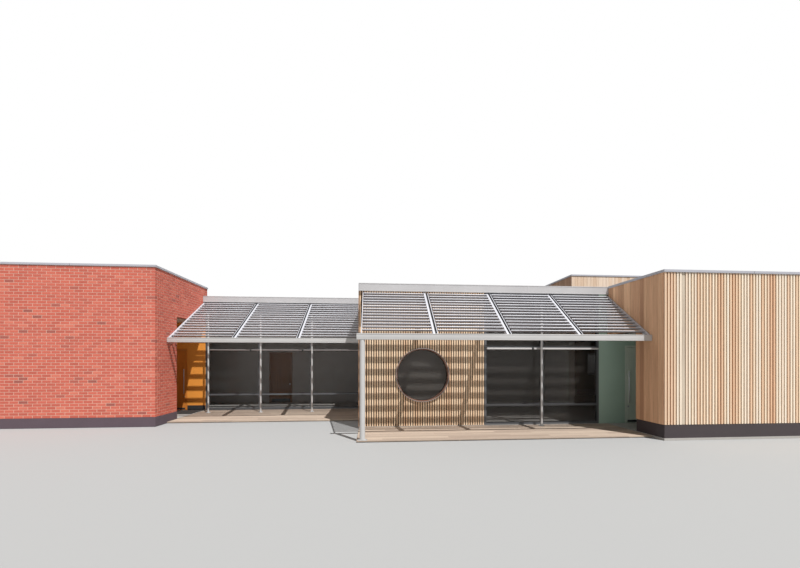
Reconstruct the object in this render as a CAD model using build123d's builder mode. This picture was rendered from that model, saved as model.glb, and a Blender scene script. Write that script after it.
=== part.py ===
from build123d import *
import os
from math import atan, cos, radians

# Low childcare centre: a brick block, a set-back glazed link, a main hall and a timber block,
# with a taller timber box behind. Millimetres, +Z up, the front faces -Y.
# The origin is on the ground, at the middle of the plan.

# Plan, from left to right
brick_width = 6480
link_width = 5480
main_width = 6840
timber_width = 6500
box_width = 5390
box_inset = 100

# Plan, from front to back
plan_depth = 11110
main_setback = 2170
brick_setback = 2940
link_setback = 6210
brick_lap = 150
corridor_width = 2250
roof_lap = 300

# Heights above the ground
floor_rise = 50
deck_thickness = 40
brick_top = 4305
timber_top = 3765
box_top = 4970
main_wall_top = 3610
main_roof_thickness = 200
rear_roof_thickness = 200
block_roof_thickness = 180
block_roof_drop = 165
left_porch_head = 3100
right_porch_head = 2500
ceiling_thickness = 120

# Walls and trim
brick_wall = 300
timber_wall = 250
inner_wall = 150
entrance_wall = 150
fascia_thickness = 50
link_eaves = 150
main_fascia_drop = 0
coping_height = 60
coping_lap = 25
coping_overhang = 20

# Porch cut into the brick block, beside the link
left_porch_start = 1200
left_porch_width = 1610

# Porch cut into the timber block, beside the hall
right_porch_start = 970
right_porch_width = 1510
main_pier = 250

# Doors
entrance_opening = 1000
entrance_door_height = 2150
corridor_opening = 930
corridor_door_height = 2060
corridor_door_from_link = 1620
door_frame_width = 50
door_frame_depth = 110
door_gap = 6
floor_gap = 10
leaf_thickness = 45
leaf_stile = 90
leaf_lock_stile = 300
leaf_glass = 20
hinge_radius = 9
hinge_length = 110
hinge_gap = 0.3
hinge_leaf = 30
hinge_leaf_thickness = 4
hinge_inset = 250
handle_radius = 12
handle_reach = 40
handle_stay_radius = 8
handle_height = 1050
pull_length = 900
pull_stay_share = 1 / 3
room_pull_length = 300

# Glazed walls
mullion_width = 55
mullion_depth = 100
glass_thickness = 24
link_bays = 3
main_bays = 2
sill_rail_height = 580
transom_height = 2150

# Round window in the slatted wall
slat_wall_width = 3360
round_window_across = 1680
round_window_height = 1400
round_window_radius = 715
round_frame_width = 35
round_frame_proud = 45

# Louvred canopies
canopy_head_gap = 10
main_canopy_margin = 60
main_canopy_panels = 4
link_canopy_panels = 3
main_canopy_reach = 1790
link_canopy_reach = 2675
main_rail_underside = 2245
link_rail_underside = 2305
canopy_rail_height = 142
canopy_rail_width = 60
panel_gap = 52
panel_rail_width = 32
panel_rail_depth = 85
main_canopy_blades = 14
link_canopy_blades = 15
blade_width = 104
blade_nose_radius = 10
blade_tail_radius = 3
blade_tilt = 20
blade_end_gap = 6
blade_foot_gap = 110
blade_lift = 18
eaves_beam_width = 100
eaves_beam_height = 200
column_radius = 60
column_inset = 130
column_plate = 200
column_plate_thickness = 15

# Slender posts and the purlins they carry under the canopies
post_radius = 28
post_plate_radius = 70
post_plate_thickness = 12
purlin_width = 50
purlin_height = 60
link_post_pitch = 1700
link_posts = 3
link_post_setout = 730
main_post_setout = 190
main_post_from_timber = 1970

# Windows of the unseen sides
window_width = 1500
window_height = 1100
window_sill = 1050
rear_windows = 5
box_windows = 2
window_frame_width = 60
window_frame_depth = 90
window_reveal = 60

# Lines worked out from the sizes above
plan_width = brick_width + link_width + main_width + timber_width
x_brick = -plan_width / 2
x_link = x_brick + brick_width
x_main = x_link + link_width
x_timber = x_main + main_width
x_right = x_timber + timber_width
x_box_right = x_right - box_inset
x_box = x_box_right - box_width
x_left_porch = x_link - left_porch_width
x_right_porch = x_timber + right_porch_width
x_slat_end = x_main + slat_wall_width
x_green = x_timber - main_pier
x_corridor_door = x_link + corridor_door_from_link
y_front = -plan_depth / 2
y_back = plan_depth / 2
y_main = y_front + main_setback
y_brick = y_front + brick_setback
y_link = y_front + link_setback
y_brick_rear = y_link + brick_lap
y_box = y_brick_rear - timber_wall
y_corridor = y_link + corridor_width
y_left_porch = y_brick + left_porch_start
y_right_porch = y_front + right_porch_start
y_main_roof_rear = y_brick_rear + roof_lap
main_roof_top = main_wall_top + main_roof_thickness
rear_roof_top = main_roof_top + rear_roof_thickness
brick_roof_top = brick_top - block_roof_drop
timber_roof_top = timber_top - block_roof_drop
box_roof_top = box_top - block_roof_drop
entrance_head = floor_rise + entrance_door_height
corridor_head = floor_rise + corridor_door_height


def middle(span):
    return (span[0] + span[1]) / 2


def length(span):
    return span[1] - span[0]


def save(piece, label):
    piece.part.label = label
    export_step(piece.part, "parts/" + label + ".step")


def slab(label, xs, ys, zs):
    """A plain wall, beam or slab between two lines on each axis."""
    with BuildPart() as piece:
        with BuildSketch(Plane.XY.offset(zs[0])):
            with Locations((middle(xs), middle(ys))):
                Rectangle(length(xs), length(ys))
        extrude(amount=length(zs))
    save(piece, label)


def facing(y):
    """The upright plane at y: local x is X, local y is Z, and extrude goes towards the back."""
    return Plane(origin=(0, y, 0), x_dir=(1, 0, 0), z_dir=(0, -1, 0))


def coping(label, xs, ys, z, wall):
    """A parapet coping, which overhangs the wall outside and laps over it inside."""
    with BuildPart() as piece:
        with BuildSketch(Plane.XY.offset(z)):
            with Locations((middle(xs), middle(ys))):
                Rectangle(length(xs) + 2 * coping_overhang, length(ys) + 2 * coping_overhang)
                Rectangle(length(xs) - 2 * (wall + coping_lap), length(ys) - 2 * (wall + coping_lap),
                          mode=Mode.SUBTRACT)
        extrude(amount=coping_height)
    save(piece, label)


def glazed_wall(label, xs, y, zs, bays, rails):
    """A mullioned screen and the panes that fill it, seated face to face."""
    bay = (length(xs) - mullion_width) / bays
    cuts = [zs[0]] + [rail - mullion_width / 2 for rail in rails] + [zs[1] - mullion_width]
    panes = []
    for column in range(bays):
        left = xs[0] + mullion_width + column * bay
        for low, high in zip(cuts[:-1], cuts[1:]):
            panes.append((left, left + bay - mullion_width, low + mullion_width, high))
    with BuildPart() as screen:
        with BuildSketch(facing(y)):
            with Locations((middle(xs), middle(zs))):
                Rectangle(length(xs), length(zs))
            for x0, x1, z0, z1 in panes:
                with Locations(((x0 + x1) / 2, (z0 + z1) / 2)):
                    Rectangle(x1 - x0, z1 - z0, mode=Mode.SUBTRACT)
        extrude(amount=-mullion_depth)
    save(screen, label + "_frame")
    with BuildPart() as glass:
        with BuildSketch(facing(y + (mullion_depth - glass_thickness) / 2)):
            for x0, x1, z0, z1 in panes:
                with Locations(((x0 + x1) / 2, (z0 + z1) / 2)):
                    Rectangle(x1 - x0, z1 - z0)
        extrude(amount=-glass_thickness)
    save(glass, label + "_glass")


def rear_walls():
    """The two walls at the back, with a plain row of windows in each."""
    walls = [("rear_wall", (x_brick, x_box), brick_wall, main_roof_top, rear_windows),
             ("box_rear_wall", (x_box, x_box_right), timber_wall, box_top, box_windows)]
    clear_width = window_width - 2 * window_frame_width
    clear_height = window_height - 2 * window_frame_width
    openings = []
    for label, xs, thickness, top, count in walls:
        pitch = length(xs) / count
        spots = [(xs[0] + pitch * (n + 0.5), window_sill + window_height / 2) for n in range(count)]
        with BuildPart() as wall:
            with BuildSketch(facing(y_back - thickness)):
                with Locations((middle(xs), middle((floor_rise, top)))):
                    Rectangle(length(xs), top - floor_rise)
                with Locations(*spots):
                    Rectangle(window_width, window_height, mode=Mode.SUBTRACT)
            extrude(amount=-thickness)
        save(wall, label)
        openings += spots
    with BuildPart() as frame:
        with BuildSketch(facing(y_back - window_reveal - window_frame_depth)):
            with Locations(*openings):
                Rectangle(window_width, window_height)
                Rectangle(clear_width, clear_height, mode=Mode.SUBTRACT)
        extrude(amount=-window_frame_depth)
    save(frame, "rear_window_frames")
    with BuildPart() as panes:
        with BuildSketch(facing(y_back - window_reveal - (window_frame_depth + glass_thickness) / 2)):
            with Locations(*openings):
                Rectangle(clear_width, clear_height)
        extrude(amount=-glass_thickness)
    save(panes, "rear_window_glass")


def canopy_slope(y_front, y_head, underside, head):
    """Where a canopy starts behind its rail, and the rise of its slope."""
    low_y = y_front + canopy_rail_width
    low_z = underside + canopy_rail_height
    return low_y, low_z, (head - low_z) / (y_head - low_y)


def canopy(label, xs, y_front, y_head, underside, head, panels, blades):
    """Sloping panels of louvre blades behind a rail, their side rails cut plumb at both ends.
    A blade is an aerofoil whose nose points to the front, above its tail."""
    low_y, low_z, rise = canopy_slope(y_front, y_head, underside, head)
    plumb_depth = panel_rail_depth / cos(atan(rise))
    pitch = length(xs) / panels
    panel_width = pitch - panel_gap
    chord = blade_width - blade_nose_radius - blade_tail_radius
    nose_side = blade_nose_radius + chord / 2 * cos(radians(blade_tilt))
    first = low_y + nose_side + blade_foot_gap
    step = (y_head - low_y - 2 * nose_side - blade_foot_gap - blade_end_gap) / (blades - 1)
    with BuildPart() as piece:
        for n in range(panels):
            side = Plane(origin=(xs[0] + pitch * n + panel_gap / 2, 0, 0), x_dir=(0, 1, 0),
                         z_dir=(1, 0, 0))
            with BuildSketch(side) as rail:
                with BuildLine():
                    Polyline((low_y, low_z), (y_head, head), (y_head, head - plumb_depth),
                             (low_y, low_z - plumb_depth), close=True)
                make_face()
            extrude(amount=panel_rail_width)
            extrude(rail.sketch.moved(Location((panel_width - panel_rail_width, 0, 0))),
                    amount=panel_rail_width)
            with BuildSketch(side):
                for count in range(blades):
                    blade_y = first + step * count
                    blade_z = low_z + (blade_y - low_y) * rise - plumb_depth / 2 + blade_lift
                    with Locations(Location((blade_y, blade_z), -blade_tilt)):
                        with BuildSketch(mode=Mode.PRIVATE) as blade:
                            with Locations((-chord / 2, 0)):
                                Circle(blade_nose_radius)
                            with Locations((chord / 2, 0)):
                                Circle(blade_tail_radius)
                            make_hull()
                        add(blade.sketch)
            extrude(amount=panel_width)
    save(piece, label)


def post_frame(label, xs, spots, y, slope):
    """Slender round posts on foot plates, with the purlin that they carry welded across them.
    The purlin's top follows the slope of the canopy's side rails, which rest on it."""
    low_y, low_z, rise = canopy_slope(*slope)
    plumb_depth = panel_rail_depth / cos(atan(rise))
    front, back = y - purlin_width / 2, y + purlin_width / 2
    seat_front = low_z + (front - low_y) * rise - plumb_depth
    seat_back = low_z + (back - low_y) * rise - plumb_depth
    bottom = seat_front - purlin_height
    with BuildPart() as piece:
        for radius, height in ((post_plate_radius, post_plate_thickness),
                               (post_radius, bottom - deck_thickness)):
            with BuildSketch(Plane.XY.offset(deck_thickness)):
                with Locations(*[(x, y) for x in spots]):
                    Circle(radius)
            extrude(amount=height)
        with BuildSketch(Plane(origin=(xs[0], 0, 0), x_dir=(0, 1, 0), z_dir=(1, 0, 0))):
            with BuildLine():
                Polyline((front, bottom), (back, bottom), (back, seat_back), (front, seat_front),
                         close=True)
            make_face()
        extrude(amount=length(xs))
    save(piece, label)


def door(label, x_hinge, side, opening, y, head, pull, glazed):
    """A frame, a leaf on three hinges and its pane. side is 1 with the hinges on the left."""
    x_mid = x_hinge + side * opening / 2
    bottom = floor_rise + floor_gap
    leaf_width = opening - 2 * door_frame_width - 2 * door_gap
    leaf_top = head - door_frame_width - door_gap
    pane_width = leaf_width - leaf_stile - leaf_lock_stile
    x_pane = x_mid - side * (leaf_lock_stile - leaf_stile) / 2
    axis_x = x_hinge + side * (door_frame_width + door_gap / 2)
    axis_y = y - hinge_radius
    barrel = (hinge_length - hinge_gap) / 2
    hinge_heights = (floor_rise + hinge_inset, (floor_rise + head) / 2, head - hinge_inset)
    plate_x = hinge_leaf + door_gap / 2

    def half_hinges(direction, lift):
        """Barrels round the axis with the plate that fixes them, on one side of the gap."""
        for height in hinge_heights:
            with BuildSketch(Plane.XY.offset(height + lift)) as section:
                with Locations((axis_x, axis_y)):
                    Circle(hinge_radius)
                with Locations((axis_x + direction * plate_x / 2, y - hinge_leaf_thickness / 2)):
                    Rectangle(plate_x, hinge_leaf_thickness)
            extrude(section.sketch, amount=barrel)

    with BuildPart() as frame:
        with BuildSketch(facing(y)):
            with Locations((x_mid, (floor_rise + head) / 2)):
                Rectangle(opening, head - floor_rise)
            with Locations((x_mid, (floor_rise + head - door_frame_width) / 2)):
                Rectangle(opening - 2 * door_frame_width, head - door_frame_width - floor_rise,
                          mode=Mode.SUBTRACT)
        extrude(amount=-door_frame_depth)
        half_hinges(-side, -barrel - hinge_gap / 2)
    save(frame, label + "_frame")

    with BuildPart() as leaf:
        with BuildSketch(facing(y)):
            with Locations((x_mid, (bottom + leaf_top) / 2)):
                Rectangle(leaf_width, leaf_top - bottom)
            if glazed:
                with Locations((x_pane, (bottom + leaf_top) / 2)):
                    Rectangle(pane_width, leaf_top - bottom - 2 * leaf_stile, mode=Mode.SUBTRACT)
        extrude(amount=-leaf_thickness)
        half_hinges(side, hinge_gap / 2)
        x_pull = x_mid + side * (leaf_width - leaf_stile) / 2
        with BuildSketch(Plane.XY.offset(handle_height - pull / 2)):
            with Locations((x_pull, y - handle_reach)):
                Circle(handle_radius)
        extrude(amount=pull)
        with BuildSketch(facing(y)):
            with Locations((x_pull, handle_height - pull * pull_stay_share),
                           (x_pull, handle_height + pull * pull_stay_share)):
                Circle(handle_stay_radius)
        extrude(amount=handle_reach)
    save(leaf, label + "_leaf")

    if glazed:
        with BuildPart() as pane:
            with BuildSketch(facing(y + (leaf_thickness - leaf_glass) / 2)):
                with Locations((x_pane, (bottom + leaf_top) / 2)):
                    Rectangle(pane_width, leaf_top - bottom - 2 * leaf_stile)
            extrude(amount=-leaf_glass)
        save(pane, label + "_pane")


def brick_block():
    inner = x_link - brick_wall
    slab("brick_front_wall", (x_brick, x_link), (y_brick, y_brick + brick_wall),
         (floor_rise, brick_top))
    slab("brick_porch_pier", (inner, x_link), (y_brick + brick_wall, y_left_porch),
         (floor_rise, brick_top))
    slab("brick_porch_lintel", (inner, x_link), (y_left_porch, y_brick_rear),
         (left_porch_head, brick_top))
    slab("brick_rear_beam", (x_brick + brick_wall, inner), (y_brick_rear - brick_wall, y_brick_rear),
         (left_porch_head, brick_top))
    coping("brick_coping", (x_brick, x_link), (y_brick, y_brick_rear), brick_top, brick_wall)


def left_side_wall():
    """The brick side wall, which steps down from the block to the rear roof."""
    with BuildPart() as piece:
        with BuildSketch(Plane(origin=(x_brick, 0, 0), x_dir=(0, 1, 0), z_dir=(1, 0, 0))):
            with BuildLine():
                Polyline((y_brick + brick_wall, floor_rise), (y_back - brick_wall, floor_rise),
                         (y_back - brick_wall, main_roof_top), (y_brick_rear, main_roof_top),
                         (y_brick_rear, brick_top), (y_brick + brick_wall, brick_top), close=True)
            make_face()
        extrude(amount=brick_wall)
    save(piece, "left_side_wall")


def left_porch():
    inner = x_link - brick_wall
    outer = x_left_porch - inner_wall
    slab("left_porch_front_wall", (outer, inner), (y_left_porch - inner_wall, y_left_porch),
         (floor_rise, left_porch_head))
    slab("left_porch_side_wall", (outer, x_left_porch), (y_left_porch, y_brick_rear),
         (floor_rise, left_porch_head))
    with BuildPart() as wall:
        with BuildSketch(facing(y_link)):
            with Locations((middle((x_left_porch, x_link)), middle((floor_rise, left_porch_head)))):
                Rectangle(left_porch_width, left_porch_head - floor_rise)
            with Locations((x_left_porch + entrance_opening / 2,
                            middle((floor_rise, entrance_head)))):
                Rectangle(entrance_opening, entrance_head - floor_rise, mode=Mode.SUBTRACT)
        extrude(amount=-entrance_wall)
    save(wall, "orange_entrance_wall")


def right_porch():
    inner = x_timber + timber_wall
    outer = x_right_porch + inner_wall
    slab("right_porch_front_wall", (inner, outer), (y_right_porch - inner_wall, y_right_porch),
         (floor_rise, right_porch_head))
    slab("right_porch_side_wall", (x_right_porch, outer), (y_right_porch, y_main + entrance_wall),
         (floor_rise, right_porch_head))
    with BuildPart() as wall:
        with BuildSketch(facing(y_main)):
            with Locations((middle((x_green, x_timber)), middle((floor_rise, main_wall_top)))):
                Rectangle(main_pier, main_wall_top - floor_rise)
            with Locations((middle((x_timber, x_right_porch)), middle((floor_rise, right_porch_head)))):
                Rectangle(right_porch_width, right_porch_head - floor_rise)
            with Locations((x_right_porch - entrance_opening / 2,
                            middle((floor_rise, entrance_head)))):
                Rectangle(entrance_opening, entrance_head - floor_rise, mode=Mode.SUBTRACT)
        extrude(amount=-entrance_wall)
    save(wall, "green_entrance_wall")


def porch_ceilings():
    """The ceilings of the two porches, each inside the head of its opening."""
    ceilings = [((x_left_porch - inner_wall, x_link - brick_wall),
                 (y_left_porch - inner_wall, y_brick_rear - brick_wall), left_porch_head),
                ((x_timber + timber_wall, x_right_porch + inner_wall),
                 (y_right_porch - inner_wall, y_main + entrance_wall), right_porch_head)]
    with BuildPart() as piece:
        for xs, ys, head in ceilings:
            with BuildSketch(Plane.XY.offset(head)):
                with Locations((middle(xs), middle(ys))):
                    Rectangle(length(xs), length(ys))
            extrude(amount=ceiling_thickness)
    save(piece, "porch_ceilings")


def link():
    zs = (floor_rise, main_roof_top)
    rails = (sill_rail_height, transom_height)
    glazed_wall("link_glazing", (x_link, x_main), y_link, zs, link_bays, rails)
    eaves = y_link - link_eaves
    slab("link_eaves_beam", (x_link, x_main), (eaves, eaves + eaves_beam_width),
         (main_roof_top - eaves_beam_height, main_roof_top))
    slab("link_fascia", (x_link, x_main), (eaves - fascia_thickness, eaves),
         (main_roof_top, rear_roof_top))
    rail_y = y_link - link_canopy_reach
    slab("link_canopy_rail", (x_link, x_main), (rail_y, rail_y + canopy_rail_width),
         (link_rail_underside, link_rail_underside + canopy_rail_height))
    slope = (rail_y, eaves, link_rail_underside, main_roof_top - canopy_head_gap)
    canopy("link_canopy", (x_link, x_main), *slope, link_canopy_panels, link_canopy_blades)
    post_y = y_link - link_post_setout
    spots = [x_main - link_post_pitch * (n + 1) for n in range(link_posts)]
    post_frame("link_post_frame", (x_link, x_main), spots, post_y, slope)


def main_hall():
    zs = (floor_rise, main_wall_top)
    rails = (sill_rail_height, transom_height)
    glazed_wall("main_glazing", (x_slat_end, x_green), y_main, zs, main_bays, rails)
    slab("main_left_wall", (x_main, x_main + timber_wall), (y_main + timber_wall, y_brick_rear),
         (floor_rise, main_wall_top))
    rail_y = y_main - main_canopy_reach
    slab("main_canopy_rail", (x_main, x_timber), (rail_y, rail_y + canopy_rail_width),
         (main_rail_underside, main_rail_underside + canopy_rail_height))
    head = main_wall_top - main_fascia_drop - canopy_head_gap
    slope = (rail_y, y_main, main_rail_underside, head)
    canopy("main_canopy", (x_main + main_canopy_margin, x_timber), *slope, main_canopy_panels,
           main_canopy_blades)
    post_y = y_main - main_post_setout
    post_frame("main_post_frame", (x_main + main_canopy_margin, x_timber),
               [x_timber - main_post_from_timber], post_y, slope)
    slab("main_fascia", (x_main, x_timber), (y_main - fascia_thickness, y_main),
         (main_wall_top - main_fascia_drop, main_roof_top))
    slab("main_roof", (x_main, x_timber), (y_main, y_main_roof_rear),
         (main_wall_top, main_roof_top))


def slat_wall():
    """The slatted timber wall with its round window, which a flat metal ring frames."""
    centre = (x_main + round_window_across, round_window_height)
    clear = round_window_radius - round_frame_width
    with BuildPart() as wall:
        with BuildSketch(facing(y_main)):
            with Locations((middle((x_main, x_slat_end)), middle((floor_rise, main_wall_top)))):
                Rectangle(slat_wall_width, main_wall_top - floor_rise)
            with Locations(centre):
                Circle(round_window_radius, mode=Mode.SUBTRACT)
        extrude(amount=-timber_wall)
    save(wall, "slat_wall")
    with BuildPart() as frame:
        with BuildSketch(facing(y_main - round_frame_proud)):
            with Locations(centre):
                Circle(round_window_radius)
                Circle(clear, mode=Mode.SUBTRACT)
        extrude(amount=-(timber_wall + round_frame_proud))
    save(frame, "round_window_frame")
    with BuildPart() as pane:
        with BuildSketch(facing(y_main + (timber_wall - glass_thickness) / 2)):
            with Locations(centre):
                Circle(clear)
        extrude(amount=-glass_thickness)
    save(pane, "round_window_glass")


def canopy_column():
    """The round column under the free corner of the main canopy, on a square foot plate."""
    spot = (x_main + column_inset, y_main - main_canopy_reach + column_radius)
    with BuildPart() as piece:
        with BuildSketch(Plane.XY.offset(deck_thickness)):
            with Locations(spot):
                Rectangle(column_plate, column_radius * 2)
        extrude(amount=column_plate_thickness)
        with BuildSketch(Plane.XY.offset(deck_thickness)):
            with Locations(spot):
                Circle(column_radius)
        extrude(amount=main_rail_underside - deck_thickness)
    save(piece, "canopy_column")


def timber_block():
    inner = x_timber + timber_wall
    slab("timber_front_wall", (x_timber, x_right), (y_front, y_front + timber_wall),
         (floor_rise, timber_top))
    slab("timber_right_wall", (x_right - timber_wall, x_right),
         (y_front + timber_wall, y_brick_rear),
         (floor_rise, timber_top))
    slab("timber_porch_pier", (x_timber, inner), (y_front + timber_wall, y_right_porch),
         (floor_rise, timber_top))
    slab("timber_porch_lintel", (x_timber, inner), (y_right_porch, y_brick_rear),
         (right_porch_head, timber_top))
    inside = timber_wall + coping_lap
    x_lip = x_right + coping_overhang
    y_fascia = y_main - fascia_thickness
    strips = [((x_timber - coping_overhang, x_lip), (y_front - coping_overhang, y_front + inside)),
              ((x_timber - coping_overhang, x_timber + inside), (y_front, y_fascia)),
              ((x_timber, x_timber + inside), (y_fascia, y_brick_rear)),
              ((x_timber, x_box), (y_box - coping_lap, y_brick_rear)),
              ((x_right - inside, x_lip), (y_front, y_box)),
              ((x_box_right, x_lip), (y_box, y_brick_rear))]
    with BuildPart() as cap:
        with BuildSketch(Plane.XY.offset(timber_top)):
            for xs, ys in strips:
                with Locations((middle(xs), middle(ys))):
                    Rectangle(length(xs), length(ys))
        extrude(amount=coping_height)
    save(cap, "timber_coping")


def timber_box():
    """The taller box behind: its front wall rises from the beam at the back of the lower block."""
    beam_xs = (x_timber + timber_wall, x_right - timber_wall)
    with BuildPart() as front:
        with BuildSketch(facing(y_box)):
            with Locations((middle(beam_xs), middle((right_porch_head, timber_top)))):
                Rectangle(length(beam_xs), timber_top - right_porch_head)
            with Locations((middle((x_box, x_box_right)), middle((timber_top, box_top)))):
                Rectangle(box_width, box_top - timber_top)
        extrude(amount=-timber_wall)
    save(front, "box_front_wall")
    ys = (y_brick_rear, y_back - timber_wall)
    slab("box_left_wall", (x_box, x_box + timber_wall), ys, (floor_rise, box_top))
    slab("box_right_wall", (x_box_right - timber_wall, x_box_right), ys, (floor_rise, box_top))
    coping("box_coping", (x_box, x_box_right), (y_box, y_back), box_top, timber_wall)


def rear_wing():
    x_door_end = x_corridor_door + corridor_opening
    ys = (y_corridor, y_corridor + inner_wall)
    slab("corridor_wall_left", (x_brick + brick_wall, x_corridor_door), ys, (floor_rise, main_roof_top))
    slab("corridor_wall_right", (x_door_end, x_box), ys, (floor_rise, main_roof_top))
    slab("corridor_wall_header", (x_corridor_door, x_door_end), ys, (corridor_head, main_roof_top))
    with BuildPart() as roof:
        with BuildSketch(Plane.XY.offset(main_roof_top)):
            with Locations((middle((x_brick, x_box)), middle((y_brick_rear, y_back)))):
                Rectangle(x_box - x_brick, y_back - y_brick_rear)
            with Locations((middle((x_link, x_main)), middle((y_link - link_eaves, y_brick_rear)))):
                Rectangle(link_width, y_brick_rear - y_link + link_eaves)
        extrude(amount=rear_roof_thickness)
    save(roof, "rear_roof")


def floor_slab():
    """One slab under the whole building, its top at floor level."""
    rooms = [((x_brick, x_link), (y_brick, y_brick_rear)),
             ((x_link, x_main), (y_link, y_brick_rear)),
             ((x_main, x_timber), (y_main, y_brick_rear)),
             ((x_timber, x_right), (y_front, y_brick_rear)),
             ((x_brick, x_box), (y_brick_rear, y_back)),
             ((x_box, x_box_right), (y_brick_rear, y_back))]
    with BuildPart() as piece:
        with BuildSketch():
            for xs, ys in rooms:
                with Locations((middle(xs), middle(ys))):
                    Rectangle(length(xs), length(ys))
        extrude(amount=floor_rise)
    save(piece, "floor_slab")


def decks():
    """The plank decks under the two canopies."""
    with BuildPart() as piece:
        with BuildSketch():
            with Locations((middle((x_link, x_main)), y_link - link_canopy_reach / 2)):
                Rectangle(link_width, link_canopy_reach)
            with Locations((middle((x_main, x_timber)), y_main - main_canopy_reach / 2)):
                Rectangle(main_width, main_canopy_reach)
        extrude(amount=deck_thickness)
    save(piece, "decks")


def parapet_roofs():
    """The flat roofs that lie inside the parapets of the two blocks and the box."""
    roofs = [((x_brick + brick_wall, x_link - brick_wall),
              (y_brick + brick_wall, y_brick_rear - brick_wall), brick_roof_top),
             ((x_timber + timber_wall, x_right - timber_wall),
              (y_front + timber_wall, y_box), timber_roof_top),
             ((x_box + timber_wall, x_box_right - timber_wall),
              (y_brick_rear, y_back - timber_wall), box_roof_top)]
    with BuildPart() as piece:
        for xs, ys, top in roofs:
            with BuildSketch(Plane.XY.offset(top - block_roof_thickness)):
                with Locations((middle(xs), middle(ys))):
                    Rectangle(length(xs), length(ys))
            extrude(amount=block_roof_thickness)
    save(piece, "parapet_roofs")


def doors():
    door("left_door", x_left_porch, 1, entrance_opening, y_link, entrance_head, pull_length, True)
    door("right_door", x_right_porch, -1, entrance_opening, y_main, entrance_head, pull_length, True)
    door("corridor_door", x_corridor_door, 1, corridor_opening, y_corridor, corridor_head,
         room_pull_length, False)


os.makedirs("parts", exist_ok=True)
floor_slab()
decks()
brick_block()
left_side_wall()
left_porch()
link()
main_hall()
slat_wall()
canopy_column()
timber_block()
right_porch()
porch_ceilings()
timber_box()
rear_wing()
rear_walls()
parapet_roofs()
doors()
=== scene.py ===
from math import atan2, ceil, cos, floor, pi, radians, sin
import bpy
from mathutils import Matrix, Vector


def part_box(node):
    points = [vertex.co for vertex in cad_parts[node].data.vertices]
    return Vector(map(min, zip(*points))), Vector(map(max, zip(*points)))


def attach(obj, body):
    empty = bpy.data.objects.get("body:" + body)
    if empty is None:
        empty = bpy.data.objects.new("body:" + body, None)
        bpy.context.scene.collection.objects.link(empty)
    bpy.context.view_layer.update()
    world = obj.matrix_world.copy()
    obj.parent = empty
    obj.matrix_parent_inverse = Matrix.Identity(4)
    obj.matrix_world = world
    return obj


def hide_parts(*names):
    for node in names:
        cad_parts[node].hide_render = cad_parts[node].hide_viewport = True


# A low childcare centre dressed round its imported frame: brickwork, battens and boards, copings,
# roofing, louvred canopies, glazing, doors and plank decks. Metres, +Z up, the front faces -Y.

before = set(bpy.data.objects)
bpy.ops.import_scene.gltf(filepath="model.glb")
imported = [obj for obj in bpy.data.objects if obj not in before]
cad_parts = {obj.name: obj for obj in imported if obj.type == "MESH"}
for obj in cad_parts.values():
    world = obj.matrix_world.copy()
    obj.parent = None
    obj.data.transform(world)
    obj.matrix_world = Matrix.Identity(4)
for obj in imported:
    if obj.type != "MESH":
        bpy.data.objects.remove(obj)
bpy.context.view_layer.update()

# Small measures that many pieces share
hair = 0.001
pick_margin = 0.0001
core_gap = 0.002
slight_easing = 0.002
plain_easing = 0.003
soft_easing = 0.004
smooth_angle = 40

# Brickwork
brick_length = 0.215
brick_height = 0.065
brick_depth = 0.1025
mortar_joint = 0.0127
mortar_recess = 0.0035
brick_chamfer = 0.0015
brick_base = 0.265
brick_plinth_top = 0.26
plinth_proud = 0.01

# Battens and boards
front_battens = 91
batten_width = 0.04
batten_depth = 0.04
batten_chamfer = 0.003
wide_board_place = 6
timber_plinth_top = 0.35
hall_slats = 52
slat_width = 0.038
slat_depth = 0.034
board_widths = (0.138, 0.092, 0.118, 0.1, 0.142)
board_gap = 0.005
board_spare = 0.01
board_depth = 0.02
board_chamfer = 0.002
backing_lap = 0.004
corner_board = 0.012

# Windows at the back, matched to the frame, and their sills and bars
window_width = 1.5
window_height = 1.1
window_sill = 1.05
rear_windows = 5
box_windows = 2
window_frame_width = 0.06
window_bar = 0.024
window_bar_recess = 0.012
sill_top = 0.03
sill_proud = 0.018
sill_fall = 0.012

# Louvred canopies, matched to the frame, and the parts added to them
main_panels = 4
main_blades = 14
link_panels = 3
link_blades = 15
canopy_margin = 0.06
panel_gap = 0.052
panel_rail_width = 0.032
panel_rail_depth = 0.085
blade_width = 0.104
blade_nose_radius = 0.01
blade_tail_radius = 0.003
blade_tilt = radians(20)
blade_end_gap = 0.006
blade_foot_gap = 0.11
blade_lift = 0.018
blade_facets = 14
# Blade faces that look down more steeply than this take the darker painted shade
painted_shade_slope = -0.25
blade_side_gap = 0.012
blade_cap_thickness = 0.004
pin_radius = 0.006
pin_facets = 8
# Dark liners on the side rails' faces towards the joint gaps: painted shade
shade_liner_thickness = 0.003
shade_liner_easing = 0.0008
wide_rail_spare = 0.022
slim_rail_loss = 0.012
joint_strip_depth = 0.03
joint_strip_drop = 0.04

# Eaves rails and fascias
rail_easing = 0.014
rail_lip_set_in = 0.01
rail_lip_depth = 0.02
rail_lip_proud = 0.006
rail_lip_from_top = (0.022, 0.004)
rail_foot_proud = 0.004
rail_foot_from_foot = (0.004, 0.016)
fascia_lip_depth = 0.012
fascia_lip_proud = 0.006
fascia_lip_from_top = (-0.016, 0.006)
drip_proud = 0.008
drip_from_foot = (-0.002, 0.026)
fascia_straps = 3
strap_half = 0.03
strap_proud = 0.003
strap_depth = 0.01
strap_from_foot = 0.024
strap_from_top = 0.014

# Posts, matched to the frame, and their fixings
post_radius = 0.028
post_plate_radius = 0.07
post_plate_thickness = 0.012
post_end_gap = 0.004
post_bolt_share = 0.74
collar_height = 0.024
collar_wall = 0.006
purlin_width = 0.05
purlin_height = 0.06
link_post_pitch = 1.7
link_post_count = 3
main_post_from_right = 1.97
column_plate_thickness = 0.015
column_cap = 0.012
column_facets = 64
column_bolts = (0.083, 0.034)
bolt_radius = 0.009
bolt_height = 0.008
washer_thickness = 0.002
washer_share = 1.6
washer_facets = 16
bolt_sides = 6

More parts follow.
